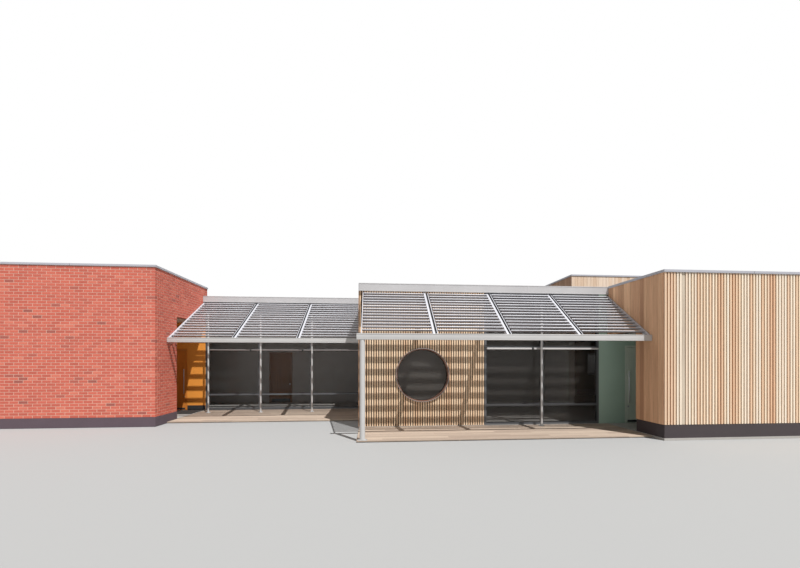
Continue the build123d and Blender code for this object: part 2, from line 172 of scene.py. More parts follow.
# Glazed walls, matched to the frame, with their gaskets and covers
link_bays = 3
main_bays = 2
mullion_width = 0.055
mullion_depth = 0.1
glass_thickness = 0.024
sill_rail_height = 0.58
transom_height = 2.15
gasket_width = 0.01
gasket_depth = 0.006
cover_margin = 0.004
cover_joint = 0.06
cover_joint_place = 0.3
sleeve_recess = 0.006
hall_cover_reach = 0.085
hall_cover_drop = 0.04
link_cover_reach = 0.012
bead_width = 0.012
bead_depth = 0.03
porthole_facets = 96

# Copings and roofs
coping_length = 2.4
coping_joint = 0.005
coping_seal = 0.004
coping_easing = 0.005
coping_overhang = 0.02
coping_lap = 0.025
parapet_rise = 0.165
felt_width = 1.0
felt_lap_half = 0.05
felt_end_gap = 0.01
felt_thickness = 0.004
felt_behind_fascia = 0.02
kerb_width = 0.05
kerb_chamfer = 0.035
upstand = 0.01
upstand_foot = 0.02
outlet_share = 0.3
outlet_from_edge = 0.45
outlet_flange = 0.16
outlet_flange_depth = 0.012
outlet_flange_lift = 0.004
outlet_dome_lift = 0.005
outlet_dome = 0.085
outlet_height = 0.06
outlet_facets = 48
outlet_easing = 0.026
outlet_slot = 0.004
outlet_slot_share = 0.93
edge_lengths = 8
edge_drop = 0.03
edge_rise = 0.006
edge_face = 0.01
edge_flange = 0.06
edge_end_gap = 0.003
edge_lap = 0.004
edge_flange_proud = 0.008
edge_from_link = 0.015

# Doors, matched to the frame, and their fittings
leaf_thickness = 0.045
leaf_stile = 0.09
leaf_lock_stile = 0.3
door_jamb = 0.05
handle_height = 1.05
handle_reach = 0.04
handle_radius = 0.012
pull_length = 0.9
door_gasket_width = 0.009
door_gasket_depth = 0.007
fitting_easing = 0.0015
kick_plate_foot = 0.012
kick_plate_head = 0.014
kick_plate_set_in = 0.02
kick_plate_faces = (-0.0015, 0.0005)
kick_plate_easing = 0.0007
corridor_kick_from_sides = (0.06, 0.03)
corridor_kick_top = 0.15
pull_end_gap = 0.015
lock_radius = 0.026
lock_below_pull = 0.09
corridor_lock_radius = 0.024
corridor_lock_drop = 0.24
rosette_depth = 0.006
rosette_sunk = 0.002
keyhole_inset = 0.014
threshold_depth = 0.11
threshold_rise = 0.0045
foot_strip_top = 0.215
foot_strip_proud = 0.008
foot_strip_gap = 0.004
mat_front = -0.45
mat_rib = 0.03
mat_step = 0.033
mat_from_porch = 0.04
mat_from_door = 0.03
mat_from_wall = 0.02

# Deck planks
plank_width = 0.14
plank_gap = 0.006
plank_thickness = 0.026
plank_chamfer = 0.003
plank_end_gap = 0.002
plank_length = 2.4
plank_stagger = 0.37
joist_width = 0.045
joist_step = 0.45
joist_set_in = 0.02

# Floor round the building, light and view
ground_size = 160
ground_centre = (0, 20, -core_gap)
ground_colour = (0.36, 0.36, 0.355, 1)
fill_strength = 0.42
sun_strength = 4.6
sun_direction = (-0.6, 1.0, -2.05)
sun_spread = radians(0.55)
sun_spot = (10, -15, 20)
eye_spot = (-0.35, -13.945, 1.8)
eye_turn = (radians(90), 0, radians(-5))
eye_lens = 18
eye_sensor = 36
eye_shift = (-0.00875, 0.095)


class Extent:
    """The lines that a CAD node lies between, on each axis."""

    def __init__(self, node):
        low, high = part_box(node)
        self.xs = (low.x, high.x)
        self.ys = (low.y, high.y)
        self.zs = (low.z, high.z)


brick_front = Extent("brick_front_wall")
brick_pier = Extent("brick_porch_pier")
brick_lintel = Extent("brick_porch_lintel")
brick_beam = Extent("brick_rear_beam")
rear_wall = Extent("rear_wall")
timber_front = Extent("timber_front_wall")
timber_side = Extent("timber_right_wall")
timber_pier = Extent("timber_porch_pier")
timber_lintel = Extent("timber_porch_lintel")
box_front = Extent("box_front_wall")
box_left = Extent("box_left_wall")
box_right = Extent("box_right_wall")
box_rear = Extent("box_rear_wall")
slat_wall = Extent("slat_wall")
main_roof = Extent("main_roof")
rear_roof = Extent("rear_roof")
main_canopy = Extent("main_canopy")
main_rail = Extent("main_canopy_rail")
link_canopy = Extent("link_canopy")
link_rail = Extent("link_canopy_rail")
main_glazing = Extent("main_glazing_frame")
link_glazing = Extent("link_glazing_frame")
main_fascia = Extent("main_fascia")
link_fascia = Extent("link_fascia")
round_frame = Extent("round_window_frame")


def middle(span):
    return (span[0] + span[1]) / 2


def length(span):
    return span[1] - span[0]


def widen(span, amount):
    """A span with both ends moved out, or in where the amount is below zero."""
    return (span[0] - amount, span[1] + amount)


def around(centre, half):
    return (centre - half, centre + half)


def both_faces(span, depth):
    """What lies before and behind a pane, to this depth."""
    return ((span[0] - depth, span[0]), (span[1], span[1] + depth))


floor_top = brick_front.zs[0]
brick_step = brick_length + mortar_joint
course = brick_height + mortar_joint
brick_wall_depth = length(brick_front.ys)
timber_wall_depth = length(timber_front.ys)
window_zs = (window_sill, window_sill + window_height)


# Modelling


def deselect():
    if bpy.context.object and bpy.context.object.mode != "OBJECT":
        bpy.ops.object.mode_set(mode="OBJECT")
    bpy.ops.object.select_all(action="DESELECT")


def choose(piece):
    deselect()
    piece.select_set(True)
    bpy.context.view_layer.objects.active = piece


def started(name, easing, segments):
    """Names the primitive just added, fixes its place in its mesh and eases its edges."""
    piece = bpy.context.object
    piece.name = name
    bpy.ops.object.transform_apply(location=True, rotation=True, scale=True)
    if easing:
        ease(piece, easing, segments)
    return piece


def block(name, xs, ys, zs, easing=0.0, segments=1):
    """A box between two lines on each axis, the start of most pieces."""
    deselect()
    bpy.ops.mesh.primitive_cube_add(size=1, location=(middle(xs), middle(ys), middle(zs)),
                                    scale=(length(xs), length(ys), length(zs)))
    return started(name, easing, segments)


def drum(name, centre, radius, depth, axis, sides=32, easing=0.0, segments=1):
    """A round bar along one axis, the start of pins, discs and posts."""
    deselect()
    turn = {"X": (0, pi / 2, 0), "Y": (pi / 2, 0, 0), "Z": (0, 0, 0)}[axis]
    bpy.ops.mesh.primitive_cylinder_add(vertices=sides, radius=radius, depth=depth,
                                        location=centre, rotation=turn)
    return started(name, easing, segments)


def edit(piece, kind, wanted):
    """Opens the piece in edit mode with the faces or edges that wanted() says yes to."""
    choose(piece)
    bpy.ops.object.mode_set(mode="EDIT")
    bpy.ops.mesh.select_mode(type=kind)
    bpy.ops.mesh.select_all(action="DESELECT")
    bpy.ops.object.mode_set(mode="OBJECT")
    mesh = piece.data
    if kind == "FACE":
        for face in mesh.polygons:
            face.select = wanted(face.center, face.normal)
    else:
        for edge in mesh.edges:
            edge.select = wanted(*[mesh.vertices[end].co for end in edge.vertices])
    bpy.ops.object.mode_set(mode="EDIT")


def done():
    bpy.ops.object.mode_set(mode="OBJECT")


def shift(piece, kind, wanted, step):
    """Moves the faces or edges that wanted() says yes to."""
    edit(piece, kind, wanted)
    bpy.ops.transform.translate(value=step)
    done()


def ease(piece, width, segments=1, wanted=lambda a, b: True):
    """Eases the edges that wanted() says yes to."""
    edit(piece, "EDGE", wanted)
    bpy.ops.mesh.bevel(offset=width, segments=segments, affect="EDGES")
    done()


def ease_front(piece, width):
    """Eases only the edges of the face that looks towards -Y."""
    front = min(v.co.y for v in piece.data.vertices) + pick_margin
    ease(piece, width, wanted=lambda a, b: a.y < front and b.y < front)


def ease_top(piece, width, segments, top):
    """Eases only the edges of the face that looks up."""
    low_side = top - pick_margin
    ease(piece, width, segments, lambda a, b: a.z > low_side and b.z > low_side)


def array(piece, step, count):
    """Repeats the piece count times along step."""
    if count < 2:
        return
    choose(piece)
    row = piece.modifiers.new("row", "ARRAY")
    row.use_relative_offset = False
    row.use_constant_offset = True
    row.constant_offset_displace = step
    row.count = count
    bpy.ops.object.modifier_apply(modifier="row")


def trim_panel(piece, xs, zs):
    """Saws a panel to its width and height, and closes the cuts."""
    for spot, outward in (((xs[0], 0, 0), (-1, 0, 0)), ((xs[1], 0, 0), (1, 0, 0)),
                          ((0, 0, zs[0]), (0, 0, -1)), ((0, 0, zs[1]), (0, 0, 1))):
        edit(piece, "FACE", lambda centre, normal: True)
        bpy.ops.mesh.bisect(plane_co=spot, plane_no=outward, use_fill=True, clear_outer=True)
        done()


def join(name, pieces):
    deselect()
    for piece in pieces:
        piece.select_set(True)
    bpy.context.view_layer.objects.active = pieces[0]
    if len(pieces) > 1:
        bpy.ops.object.join()
    joined = bpy.context.object
    joined.name = name
    return joined


def place(piece, spot, turn=0.0, tilt=0.0):
    """Tilts and turns a piece about the origin, moves it and fixes its place in its mesh."""
    choose(piece)
    piece.rotation_euler = (tilt, 0, turn)
    piece.location = spot
    bpy.ops.object.transform_apply(location=True, rotation=True, scale=True)
    return piece


def opened(piece, width):
    """Cuts an opening through a plate that faces -Y, and leaves a frame of this width."""
    edit(piece, "FACE", lambda centre, normal: abs(normal.y) > 0.5)
    bpy.ops.mesh.inset(thickness=width, use_individual=True)
    bpy.ops.mesh.bridge_edge_loops()
    done()
    return piece


def cut(piece, tool):
    """Takes the tool's shape out of the piece."""
    choose(piece)
    hole = piece.modifiers.new("hole", "BOOLEAN")
    hole.operation = "DIFFERENCE"
    hole.solver = "EXACT"
    hole.object = tool
    bpy.ops.object.modifier_apply(modifier="hole")
    bpy.data.objects.remove(tool)


def smooth(piece):
    choose(piece)
    bpy.ops.object.shade_smooth_by_angle(angle=radians(smooth_angle))
    return piece


finishes = {}


def coat(piece, material):
    """Gives the piece the finish of this name alone. The frame has materials of its own."""
    piece.data.materials.clear()
    piece.data.materials.append(finishes[material])


def finish(piece, material, body="root", stands_for=()):
    """Gives a piece its finish, the body it rides on, and the CAD nodes that it stands for."""
    if material:
        coat(piece, material)
    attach(piece, body)
    if stands_for:
        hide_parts(*stands_for)


# Materials


def tone(red, green, blue):
    """A colour given as it looks on a screen, from 0 to 255, as the linear one that nodes take."""
    parts = []
    for value in (red, green, blue):
        share = value / 255
        parts.append(share / 12.92 if share <= 0.04045 else ((share + 0.055) / 1.055) ** 2.4)
    return (*parts, 1)


def times(colour, factor):
    return (*[factor * part for part in colour[:3]], 1)


class Field:
    """A node's output that varies over the surface. Python's operators add Math nodes to it."""

    def __init__(self, tree, socket):
        self.tree = tree
        self.socket = socket

    def node(self, kind, inputs, settings=None, output=0, stops=()):
        """Adds a node: its settings and a ramp's stops first, then its inputs."""
        made = self.tree.nodes.new(kind)
        for name, value in (settings or {}).items():
            setattr(made, name, value)
        for number, (position, colour) in enumerate(stops):
            elements = made.color_ramp.elements
            element = elements[number] if number < len(elements) else elements.new(1)
            element.position = position
            element.color = colour
        for name, value in inputs.items():
            if isinstance(value, Field):
                self.tree.links.new(value.socket, made.inputs[name])
            else:
                made.inputs[name].default_value = value
        return Field(self.tree, made.outputs[output])

    def math(self, operation, first, second=None):
        values = {0: first} if second is None else {0: first, 1: second}
        return self.node("ShaderNodeMath", values, {"operation": operation})

    def __add__(self, other):
        return self.math("ADD", self, other)

    def __radd__(self, other):
        return self.math("ADD", other, self)

    def __sub__(self, other):
        return self.math("SUBTRACT", self, other)

    def __rsub__(self, other):
        return self.math("SUBTRACT", other, self)

    def __mul__(self, other):
        return self.math("MULTIPLY", self, other)

    def __rmul__(self, other):
        return self.math("MULTIPLY", other, self)

    def __truediv__(self, other):
        return self.math("DIVIDE", self, other)

    def __floor__(self):
        return self.math("FLOOR", self)

    def __gt__(self, other):
        return self.math("GREATER_THAN", self, other)

    def __lt__(self, other):
        return self.math("LESS_THAN", self, other)

    def clamped(self):
        return self.node("ShaderNodeClamp", {"Value": self, "Min": 0.0, "Max": 1.0})

    def ramp(self, *stops):
        """A colour from stops that give a share and a tone as it looks on a screen."""
        return self.node("ShaderNodeValToRGB", {"Fac": self},
                         stops=[(share, tone(*colour)) for share, colour in stops])

    def noise(self, scale, detail, stretch=(1, 1, 1)):
        """Cloudy noise from 0 to 1 at a scale per metre, stretched on each axis."""
        spot = self.node("ShaderNodeMapping", {"Vector": self, "Scale": stretch})
        return self.node("ShaderNodeTexNoise", {"Vector": spot, "Scale": scale, "Detail": detail})

    def speckle(self, across, up, seed=0.0):
        """One random value from 0 to 1 for each pair of whole numbers."""
        cell = self.node("ShaderNodeCombineXYZ", {"X": across, "Y": up, "Z": seed})
        return self.node("ShaderNodeTexWhiteNoise", {"Vector": cell}, {"noise_dimensions": "3D"})

    def mix(self, factor, first, second):
        """Mixes two colours, at a factor that may vary."""
        return self.node("ShaderNodeMix", {"Factor": factor, 6: first, 7: second},
                         {"data_type": "RGBA", "blend_type": "MIX"}, output=2)

    def bump(self, height, depth):
        return self.node("ShaderNodeBump", {"Height": height, "Distance": depth, "Strength": 1.0})

    def axes(self):
        split = self.node("ShaderNodeSeparateXYZ", {"Vector": self})
        return [Field(self.tree, output) for output in split.socket.node.outputs]


def new_material(name):
    """A material with an empty tree, as the field of places on the piece."""
    made = bpy.data.materials.new(name)
    finishes[name] = made
    made.use_nodes = True
    made.node_tree.nodes.clear()
    coordinates = made.node_tree.nodes.new("ShaderNodeTexCoord")
    return Field(made.node_tree, coordinates.outputs["Object"])


def surface(places, colour, roughness, relief=None, others=None):
    """Closes the tree with the surface shader."""
    values = {"Base Color": colour, "Roughness": roughness, **(others or {})}
    if relief:
        values["Normal"] = relief
    shader = places.node("ShaderNodeBsdfPrincipled", values)
    end = places.tree.nodes.new("ShaderNodeOutputMaterial")
    places.tree.links.new(shader.socket, end.inputs["Surface"])


def along_wall(places, spot, quarter):
    """How far a place lies along a wall that starts at spot, made facing -Y and then turned."""
    axis = quarter % 2
    direction = 1 if quarter in (0, 1) else -1
    return (places.axes()[axis] - spot[axis]) * direction


def brick_finish(name, spot, quarter):
    """Fired bricks, each with its own tone, counted along the wall and by course."""
    places = new_material(name)
    margin = mortar_joint / 2
    along = along_wall(places, spot, quarter) + margin
    row = floor((places.axes()[2] - brick_base + margin) / course)
    odd = row - floor(row / 2) * 2
    number = floor(along / brick_step + odd * 0.5)
    chance = places.speckle(number, row, quarter % 2 + 0.5)
    fired = chance.ramp((0.0, (136, 74, 68)), (0.015, (160, 82, 72)), (0.03, (182, 84, 68)),
                        (0.5, (198, 94, 76)), (0.9, (206, 102, 82)), (1.0, (214, 120, 98)))
    clouds = places.noise(14, 4)
    grit = places.noise(260, 2)
    body = places.mix(clouds * 0.35, fired, tone(182, 82, 66))
    body = places.mix(grit * 0.18, body, tone(230, 156, 132))
    surface(places, body, 0.86 - grit * 0.1, places.bump(clouds + grit * 0.6, 0.0016))


def mortar_finish():
    places = new_material("mortar")
    grit = places.noise(320, 3)
    colour = places.mix(places.noise(1.6, 4), tone(226, 188, 168), tone(208, 162, 144))
    surface(places, places.mix(grit * 0.4, colour, tone(222, 188, 174)), 0.93,
            places.bump(grit, 0.0012))


def grain(places, stretch=(1, 1, 0.035)):
    """Long streaks of wood grain, upright where nothing else is given."""
    return places.noise(38, 4, stretch) * 0.65 + places.noise(240, 3, stretch) * 0.35


def wood(places, chance, tones, dark, figure, roughness):
    """Boards that take one tone each by chance, darker along the streaks of their grain."""
    steps = len(tones) - 1
    plain = chance.ramp(*[(n / steps, tones[n]) for n in range(steps + 1)])
    streaks = grain(places)
    surface(places, places.mix((streaks - 0.35) * figure, plain, tone(*dark)),
            roughness + streaks * 0.2, places.bump(streaks, 0.0012))


def batten_finish(name, tones, figure=1.1, dark=(122, 82, 56), start=0, pitch=10):
    """Upright battens counted along X from start. A single board is one wide pitch."""
    places = new_material(name)
    number = floor((places.axes()[0] - start) / pitch)
    wood(places, places.speckle(number, 3.0), tones, dark, figure, 0.62)


def board_finish(name, tones, spot, quarter):
    """Flush boards of the five widths in turn, each board with its own tone."""
    places = new_material(name)
    set_width = sum(board_widths) + board_gap * len(board_widths)
    along = along_wall(places, spot, quarter) / set_width
    whole = floor(along)
    share = along - whole
    number = whole * len(board_widths)
    edge = 0.0
    for width in board_widths[:-1]:
        edge += width + board_gap
        number = number + (share > (edge - board_gap / 2) / set_width)
    chance = places.speckle(number, 7.0, quarter % 2 + 0.5)
    wood(places, chance, tones, (122, 82, 56), 1.1, 0.6)


def plank_finish():
    """Deck planks along X, in lengths that step from row to row, each with its own tone."""
    places = new_material("deck_planks")
    across, deep, _ = places.axes()
    row = floor(deep / (plank_width + plank_gap))
    chance = places.speckle(row, floor(across / plank_length + row * plank_stagger))
    plain = chance.ramp((0.0, (164, 146, 130)), (0.5, (184, 166, 148)), (1.0, (198, 180, 160)))
    streaks = grain(places, (0.035, 1, 1))
    surface(places, places.mix((streaks - 0.3) * 1.1, plain, tone(118, 98, 88)),
            0.66 + streaks * 0.2, places.bump(streaks, 0.0012))


def painted_finish(name, colour, roughness, metallic=0.0, worn=None, depth=0.0002):
    """Paint or powder coat: a faint cloudiness, fine orange peel and a little grime."""
    places = new_material(name)
    clouds = places.noise(1.8, 4)
    grime = tone(*worn) if worn else times(tone(*colour), 0.78)
    surface(places, places.mix((clouds - 0.35) * 0.9, tone(*colour), grime),
            roughness + clouds * 0.12, places.bump(places.noise(180, 2), depth),
            {"Metallic": metallic})


def brushed_finish(name, colour, roughness):
    places = new_material(name)
    brush = places.noise(120, 3, (1, 1, 0.05))
    surface(places, places.mix(brush * 0.4, tone(*colour), tone(120, 122, 126)),
            roughness + brush * 0.15, places.bump(brush, 0.0003), {"Metallic": 0.9})


def felt_finish():
    """Mineral roofing felt: pale chips in a dark sheet, with faint water marks."""
    places = new_material("roofing_felt")
    chips = places.noise(420, 2)
    colour = places.mix((chips - 0.4) * 2, tone(96, 98, 102), tone(142, 144, 146))
    colour = places.mix(places.noise(0.7, 5) * 0.5, colour, tone(112, 112, 112))
    surface(places, colour, 0.92, places.bump(chips, 0.002))


def plaster_finish(name, *colour):
    places = new_material(name)
    trowel = places.noise(5, 5)
    fine = places.noise(150, 3)
    surface(places, places.mix(trowel * 0.6, tone(*colour), times(tone(*colour), 0.86)),
            0.8 + fine * 0.12, places.bump(trowel * 0.5 + fine * 0.5, 0.001))


def concrete_finish():
    places = new_material("floor_concrete")
    pores = places.noise(95, 3)
    colour = places.mix(places.noise(2.2, 5), tone(188, 184, 178), tone(162, 158, 153))
    surface(places, places.mix(pores * 0.3, colour, tone(134, 130, 126)), 0.7 + pores * 0.2,
            places.bump(pores, 0.0012))


def glass_finish(name, cover, *tint):
    """Double glazing that light passes: see-through but for its cover, its gloss and some dust."""
    places = new_material(name)
    dust = places.noise(3.2, 4)
    surface(places, places.mix(dust * 0.5, tone(*tint), times(tone(*tint), 1.4)),
            0.03 + dust * 0.04, None, {"Alpha": cover + dust * 0.06, "IOR": 1.52})


def veneer_finish():
    places = new_material("door_veneer")
    streaks = grain(places)
    colour = streaks.ramp((0.25, (134, 82, 28)), (0.55, (110, 66, 18)), (0.8, (82, 46, 12)))
    surface(places, colour, 0.4 + streaks * 0.2, places.bump(streaks, 0.0006),
            {"Coat Weight": 0.15})


pale_boards = [(228, 184, 148), (242, 210, 178), (248, 226, 198), (252, 238, 218), (236, 196, 162)]
hall_boards = [(228, 190, 154), (240, 208, 172), (246, 220, 188), (234, 198, 162)]
brown_boards = [(190, 144, 110), (222, 174, 136), (248, 202, 160), (204, 158, 122)]
# Darker copies of the brown boards: painted shade for the box's left side
painted_shade_boards = [(157, 120, 92), (175, 136, 107), (188, 149, 120), (164, 127, 99)]
grey_boards = [(206, 192, 172), (196, 182, 164)]
peach_boards = [(220, 186, 154), (238, 212, 185), (246, 224, 202), (228, 196, 165)]
lining_boards = [(132, 96, 78), (142, 104, 84)]

mortar_finish()
felt_finish()
concrete_finish()
plank_finish()
veneer_finish()
batten_finish("lining_wood", lining_boards, dark=(96, 68, 54))
batten_finish("grey_board", grey_boards)
batten_finish("corner_board", brown_boards)
plaster_finish("white_plaster", 226, 224, 218)
plaster_finish("corridor_plaster", 174, 170, 166)
glass_finish("double_glazing", 0.1, 46, 52, 54)
glass_finish("hall_glazing", 0.14, 84, 80, 76)
glass_finish("porthole_glazing", 0.14, 120, 115, 109)
glass_finish("door_glazing", 0.42, 150, 152, 146)
glass_finish("obscured_glazing", 0.82, 46, 52, 54)
brushed_finish("ring_metal", (176, 172, 170), 0.3)
brushed_finish("brushed_steel", (196, 198, 200), 0.24)
painted_finish("coping_metal", (176, 176, 183), 0.5)
painted_finish("fascia_metal", (185, 183, 183), 0.5)
painted_finish("louvre_metal", (234, 234, 238), 0.42, 0.1)
# Darker copies of the louvre metal for the blades' downward faces: painted shade
painted_finish("louvre_underside_painted_shade", (150, 150, 156), 0.5, 0.1)
painted_finish("link_louvre_underside_painted_shade", (204, 204, 210), 0.46, 0.1)
painted_finish("louvre_rail_metal", (194, 194, 200), 0.46, 0.1)
painted_finish("rail_metal", (195, 193, 191), 0.46, 0.05)
# One pale transom cover in two tones: the link's darker copy is painted shade
painted_finish("hall_transom_metal", (200, 197, 195), 0.46, 0.05)
painted_finish("link_transom_painted_shade", (166, 160, 157), 0.46, 0.05)
painted_finish("frame_metal", (96, 98, 101), 0.4, 0.3)
painted_finish("dark_metal", (58, 60, 62), 0.45, 0.3)
painted_finish("gasket_rubber", (34, 34, 35), 0.7)
painted_finish("backing_board", (58, 42, 34), 0.85)
painted_finish("mat_rubber", (58, 56, 55), 0.85, depth=0.002)
painted_finish("plinth_board", (62, 54, 56), 0.7)
painted_finish("plinth_render", (92, 78, 86), 0.85, depth=0.002)
painted_finish("orange_paint", (232, 152, 62), 0.5, worn=(218, 138, 54))
painted_finish("orange_door", (206, 126, 50), 0.42, worn=(188, 112, 42))
painted_finish("green_paint", (170, 194, 178), 0.5, worn=(156, 182, 166))
painted_finish("green_door", (206, 216, 203), 0.42, worn=(190, 202, 190))

# Finishes of the CAD nodes, apart from the walls and decks that pieces dress all over
carried_over = {
    "coping_metal": ["box_coping", "brick_coping", "timber_coping"],
    "rail_metal": ["canopy_column", "main_canopy_rail", "link_canopy_rail", "main_post_frame",
                   "link_post_frame"],
    "louvre_metal": ["main_canopy", "link_canopy"],
    "dark_metal": ["link_eaves_beam"],
    "fascia_metal": ["main_fascia", "link_fascia"],
    "roofing_felt": ["main_roof", "rear_roof", "parapet_roofs"],
    "floor_concrete": ["floor_slab"],
    "door_veneer": ["corridor_door_frame", "corridor_door_leaf"],
    "corridor_plaster": ["corridor_wall_header", "corridor_wall_left", "corridor_wall_right"],
    "orange_door": ["left_door_frame", "left_door_leaf"],
    "orange_paint": ["orange_entrance_wall", "left_porch_front_wall", "left_porch_side_wall"],
    "green_door": ["right_door_frame", "right_door_leaf"],
    "green_paint": ["green_entrance_wall", "right_porch_front_wall", "right_porch_side_wall"],
    "white_plaster": ["porch_ceilings", "main_left_wall"],
    "frame_metal": ["link_glazing_frame", "main_glazing_frame", "rear_window_frames"],
    "ring_metal": ["round_window_frame"],
    "double_glazing": ["left_door_pane", "link_glazing_glass"],
    "door_glazing": ["right_door_pane"],
    "hall_glazing": ["main_glazing_glass"],
    "porthole_glazing": ["round_window_glass"],
    "obscured_glazing": ["rear_window_glass"],
}
for material, nodes in carried_over.items():
    for node in nodes:
        coat(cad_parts[node], material)


# Brickwork


def clad_wall(name, cladding, face, backs, back, spot, quarter, nodes):
    """Joins cladding to what lies behind it, both made facing -Y, and turns them to their face
    by quarter turns: 0 is the front, 1 the right side, 2 the back and -1 the left side."""
    cladding = join("cladding", cladding)
    coat(cladding, face)
    behind = join("behind", backs)
    coat(behind, back)
    wall = place(join(name, [cladding, behind]), spot, quarter * pi / 2)
    finish(wall, None, stands_for=nodes)


def brick_panel(span, zs):
    """Bricks in stretcher bond over part of a wall that faces -Y and starts at X = 0."""
    first = floor(span[0] / brick_step) * brick_step - hair
    row = floor((zs[0] - brick_base + core_gap) / course / 2) * 2
    bottom = brick_base + row * course - hair
    panel = block("bricks", (first, first + brick_length), (0, brick_depth),
                  (bottom, bottom + brick_height))
    ease_front(panel, brick_chamfer)
    array(panel, (brick_step, 0, 0), ceil((span[1] - first) / brick_step) + 1)
    edit(panel, "FACE", lambda centre, normal: True)
    bpy.ops.mesh.duplicate()
    bpy.ops.transform.translate(value=(-brick_step / 2, 0, course))
    done()
    array(panel, (0, 0, course * 2), ceil((zs[1] - bottom) / course / 2))
    trim_panel(panel, span, zs)
    return panel


def brick_wall(name, bricks, panels, spot, quarter, nodes, setback=core_gap):
    """Bricks bedded in mortar, which stays clear of their cut ends."""
    brick_finish(bricks, spot, quarter)
    beds = [block("mortar", widen(span, -setback), (mortar_recess, brick_wall_depth),
                  widen(zs, -core_gap), core_gap / 2) for span, zs in panels]
    clad_wall(name, [brick_panel(span, zs) for span, zs in panels], bricks, beds, "mortar",
              spot, quarter, nodes)


def window_row(wall_length, count):
    """Where the windows of a rear wall lie along it."""
    pitch = wall_length / count
    return [around(pitch * (n + 0.5), window_width / 2) for n in range(count)]


def round_windows(wall_length, zs, count):
    """Splits a wall into the panels below, above and between its windows."""
    panels = [((0, wall_length), (zs[0], window_zs[0])), ((0, wall_length), (window_zs[1], zs[1]))]
    left = 0
    for across in window_row(wall_length, count):
        panels.append(((left, across[0]), window_zs))
        left = across[1]
    return panels + [((left, wall_length), window_zs)]


def plinth(name, strips, top, material):
    """Plinth strips round a block, from the ground to the foot of its bricks or boards."""
    made = [block("strip", xs, ys, (core_gap, top), soft_easing, 2) for xs, ys in strips]
    finish(join(name, made), material)


def brickwork():
    x_left, x_link = brick_front.xs
    x_rear = rear_wall.xs[1]
    y_face = brick_front.ys[0]
    y_back = rear_wall.ys[1]
    y_step = brick_beam.ys[1]
    top = brick_front.zs[1]
    foot = brick_base
    rear_top = rear_wall.zs[1]
    width = x_link - x_left
    lap = brick_depth + mortar_joint
    porch = brick_pier.ys[1] - y_face
    brick_wall("front_brickwork", "bricks_front", [((0, width), (foot, top))],
               (x_left, y_face, 0), 0, ["brick_front_wall"], mortar_recess + core_gap)
    brick_wall("left_brickwork", "bricks_left_side",
               [((lap, y_back - y_step), (foot, rear_top)),
                ((y_back - y_step, y_back - y_face - lap), (foot, top))],
               (x_left, y_back, 0), -1, ["left_side_wall"])
    brick_wall("right_brickwork", "bricks_right_side",
               [((lap, porch), (foot, top)), ((porch, y_step - y_face), (brick_lintel.zs[0], top))],
               (x_link, y_face, 0), 1, ["brick_porch_pier", "brick_porch_lintel"])
    brick_wall("parapet_brickwork", "bricks_parapet_rear",
               [((lap, width - lap), (brick_beam.zs[0], top))],
               (x_link, y_step, 0), 2, ["brick_rear_beam"])
    brick_wall("rear_brickwork", "bricks_rear",
               round_windows(length(rear_wall.xs), (foot, rear_top), rear_windows),
               (x_rear, y_back, 0), 2, ["rear_wall"])
    out = plinth_proud
    wall = brick_wall_depth
    plinth("brick_plinth",
           [((x_left - out, x_link + out), (y_face - out, y_face + wall)),
            ((x_left - out, x_left + wall), (y_face + wall, y_back - wall)),
            ((x_left - out, x_rear), (y_back - wall, y_back + out)),
            ((x_link - wall, x_link + out), (y_face + wall, brick_pier.ys[1]))],
           brick_plinth_top, "plinth_render")


# Battens and boards


def batten_row(span, zs, count, width, depth):
    """Upright battens over a wall that faces -Y, its face at Y = 0."""
    pitch = length(span) / count
    start = span[0] + (pitch - width) / 2
    row = block("battens", (start, start + width), (0, depth), zs)
    ease_front(row, batten_chamfer)
    array(row, (pitch, 0, 0), count)
    return row


def backing(span, zs, depth, thickness, set_in=(0.0, 0.0)):
    """The dark board behind battens or boards, set in at the ends that meet other boards."""
    return block("backing", (span[0] + set_in[0], span[1] - set_in[1]),
                 (depth - backing_lap, thickness), (zs[0], zs[1] - core_gap), core_gap / 2)


def timber_front_face():
    """Deep battens over a dark board, with one wider board among them near the porch."""
    width = length(timber_front.xs)
    spot = (timber_front.xs[0], timber_front.ys[0], 0)
    zs = (timber_plinth_top, timber_front.zs[1])
    pitch = width / front_battens
    left, right = wide_board_place * pitch, (wide_board_place + 1) * pitch
    rows = [batten_row((0, left), zs, wide_board_place, batten_width, batten_depth),
            batten_row((right, width), zs, front_battens - wide_board_place - 1, batten_width,
                       batten_depth)]
    batten_finish("front_battens", pale_boards, 0.6, start=spot[0], pitch=pitch)
    finish(place(join("front_battens", rows), spot), "front_battens")
    reach = (pitch - batten_width) / 8
    wide = block("wide_board", widen((left, right), reach), (batten_depth / 3, batten_depth), zs)
    ease_front(wide, batten_chamfer)
    finish(place(wide, spot), "grey_board")
    board = place(backing((0, width), timber_front.zs, batten_depth, timber_wall_depth,
                          (batten_depth, batten_depth)), spot)
    board.name = "front_backing"
    finish(board, "backing_board", stands_for=["timber_front_wall"])


def hall_slats_face():
    """The slats beside the hall's glazing and the board behind, both cut round the porthole."""
    span = (0, length(slat_wall.xs))
    x_face, y_face = slat_wall.xs[0], slat_wall.ys[0]
    hole = (middle(round_frame.xs), y_face, middle(round_frame.zs))
    batten_finish("hall_slats", hall_boards, 0.7, start=x_face, pitch=span[1] / hall_slats)
    for name, piece, material, nodes in (
            ("hall_slats", batten_row(span, slat_wall.zs, hall_slats, slat_width, slat_depth),
             "hall_slats", []),
            ("hall_backing", backing(span, slat_wall.zs, slat_depth, length(slat_wall.ys)),
             "backing_board", ["slat_wall"])):
        place(piece, (x_face, y_face, 0))
        cut(piece, drum("porthole", hole, length(round_frame.xs) / 2, 1.0, "Y", porthole_facets))
        piece.name = name
        finish(piece, material, stands_for=nodes)
    corner = block("hall_corner_board", (x_face - corner_board, x_face + hair),
                   (y_face - core_gap, slat_wall.ys[1]), slat_wall.zs, slight_easing, 2)
    finish(corner, "corner_board")


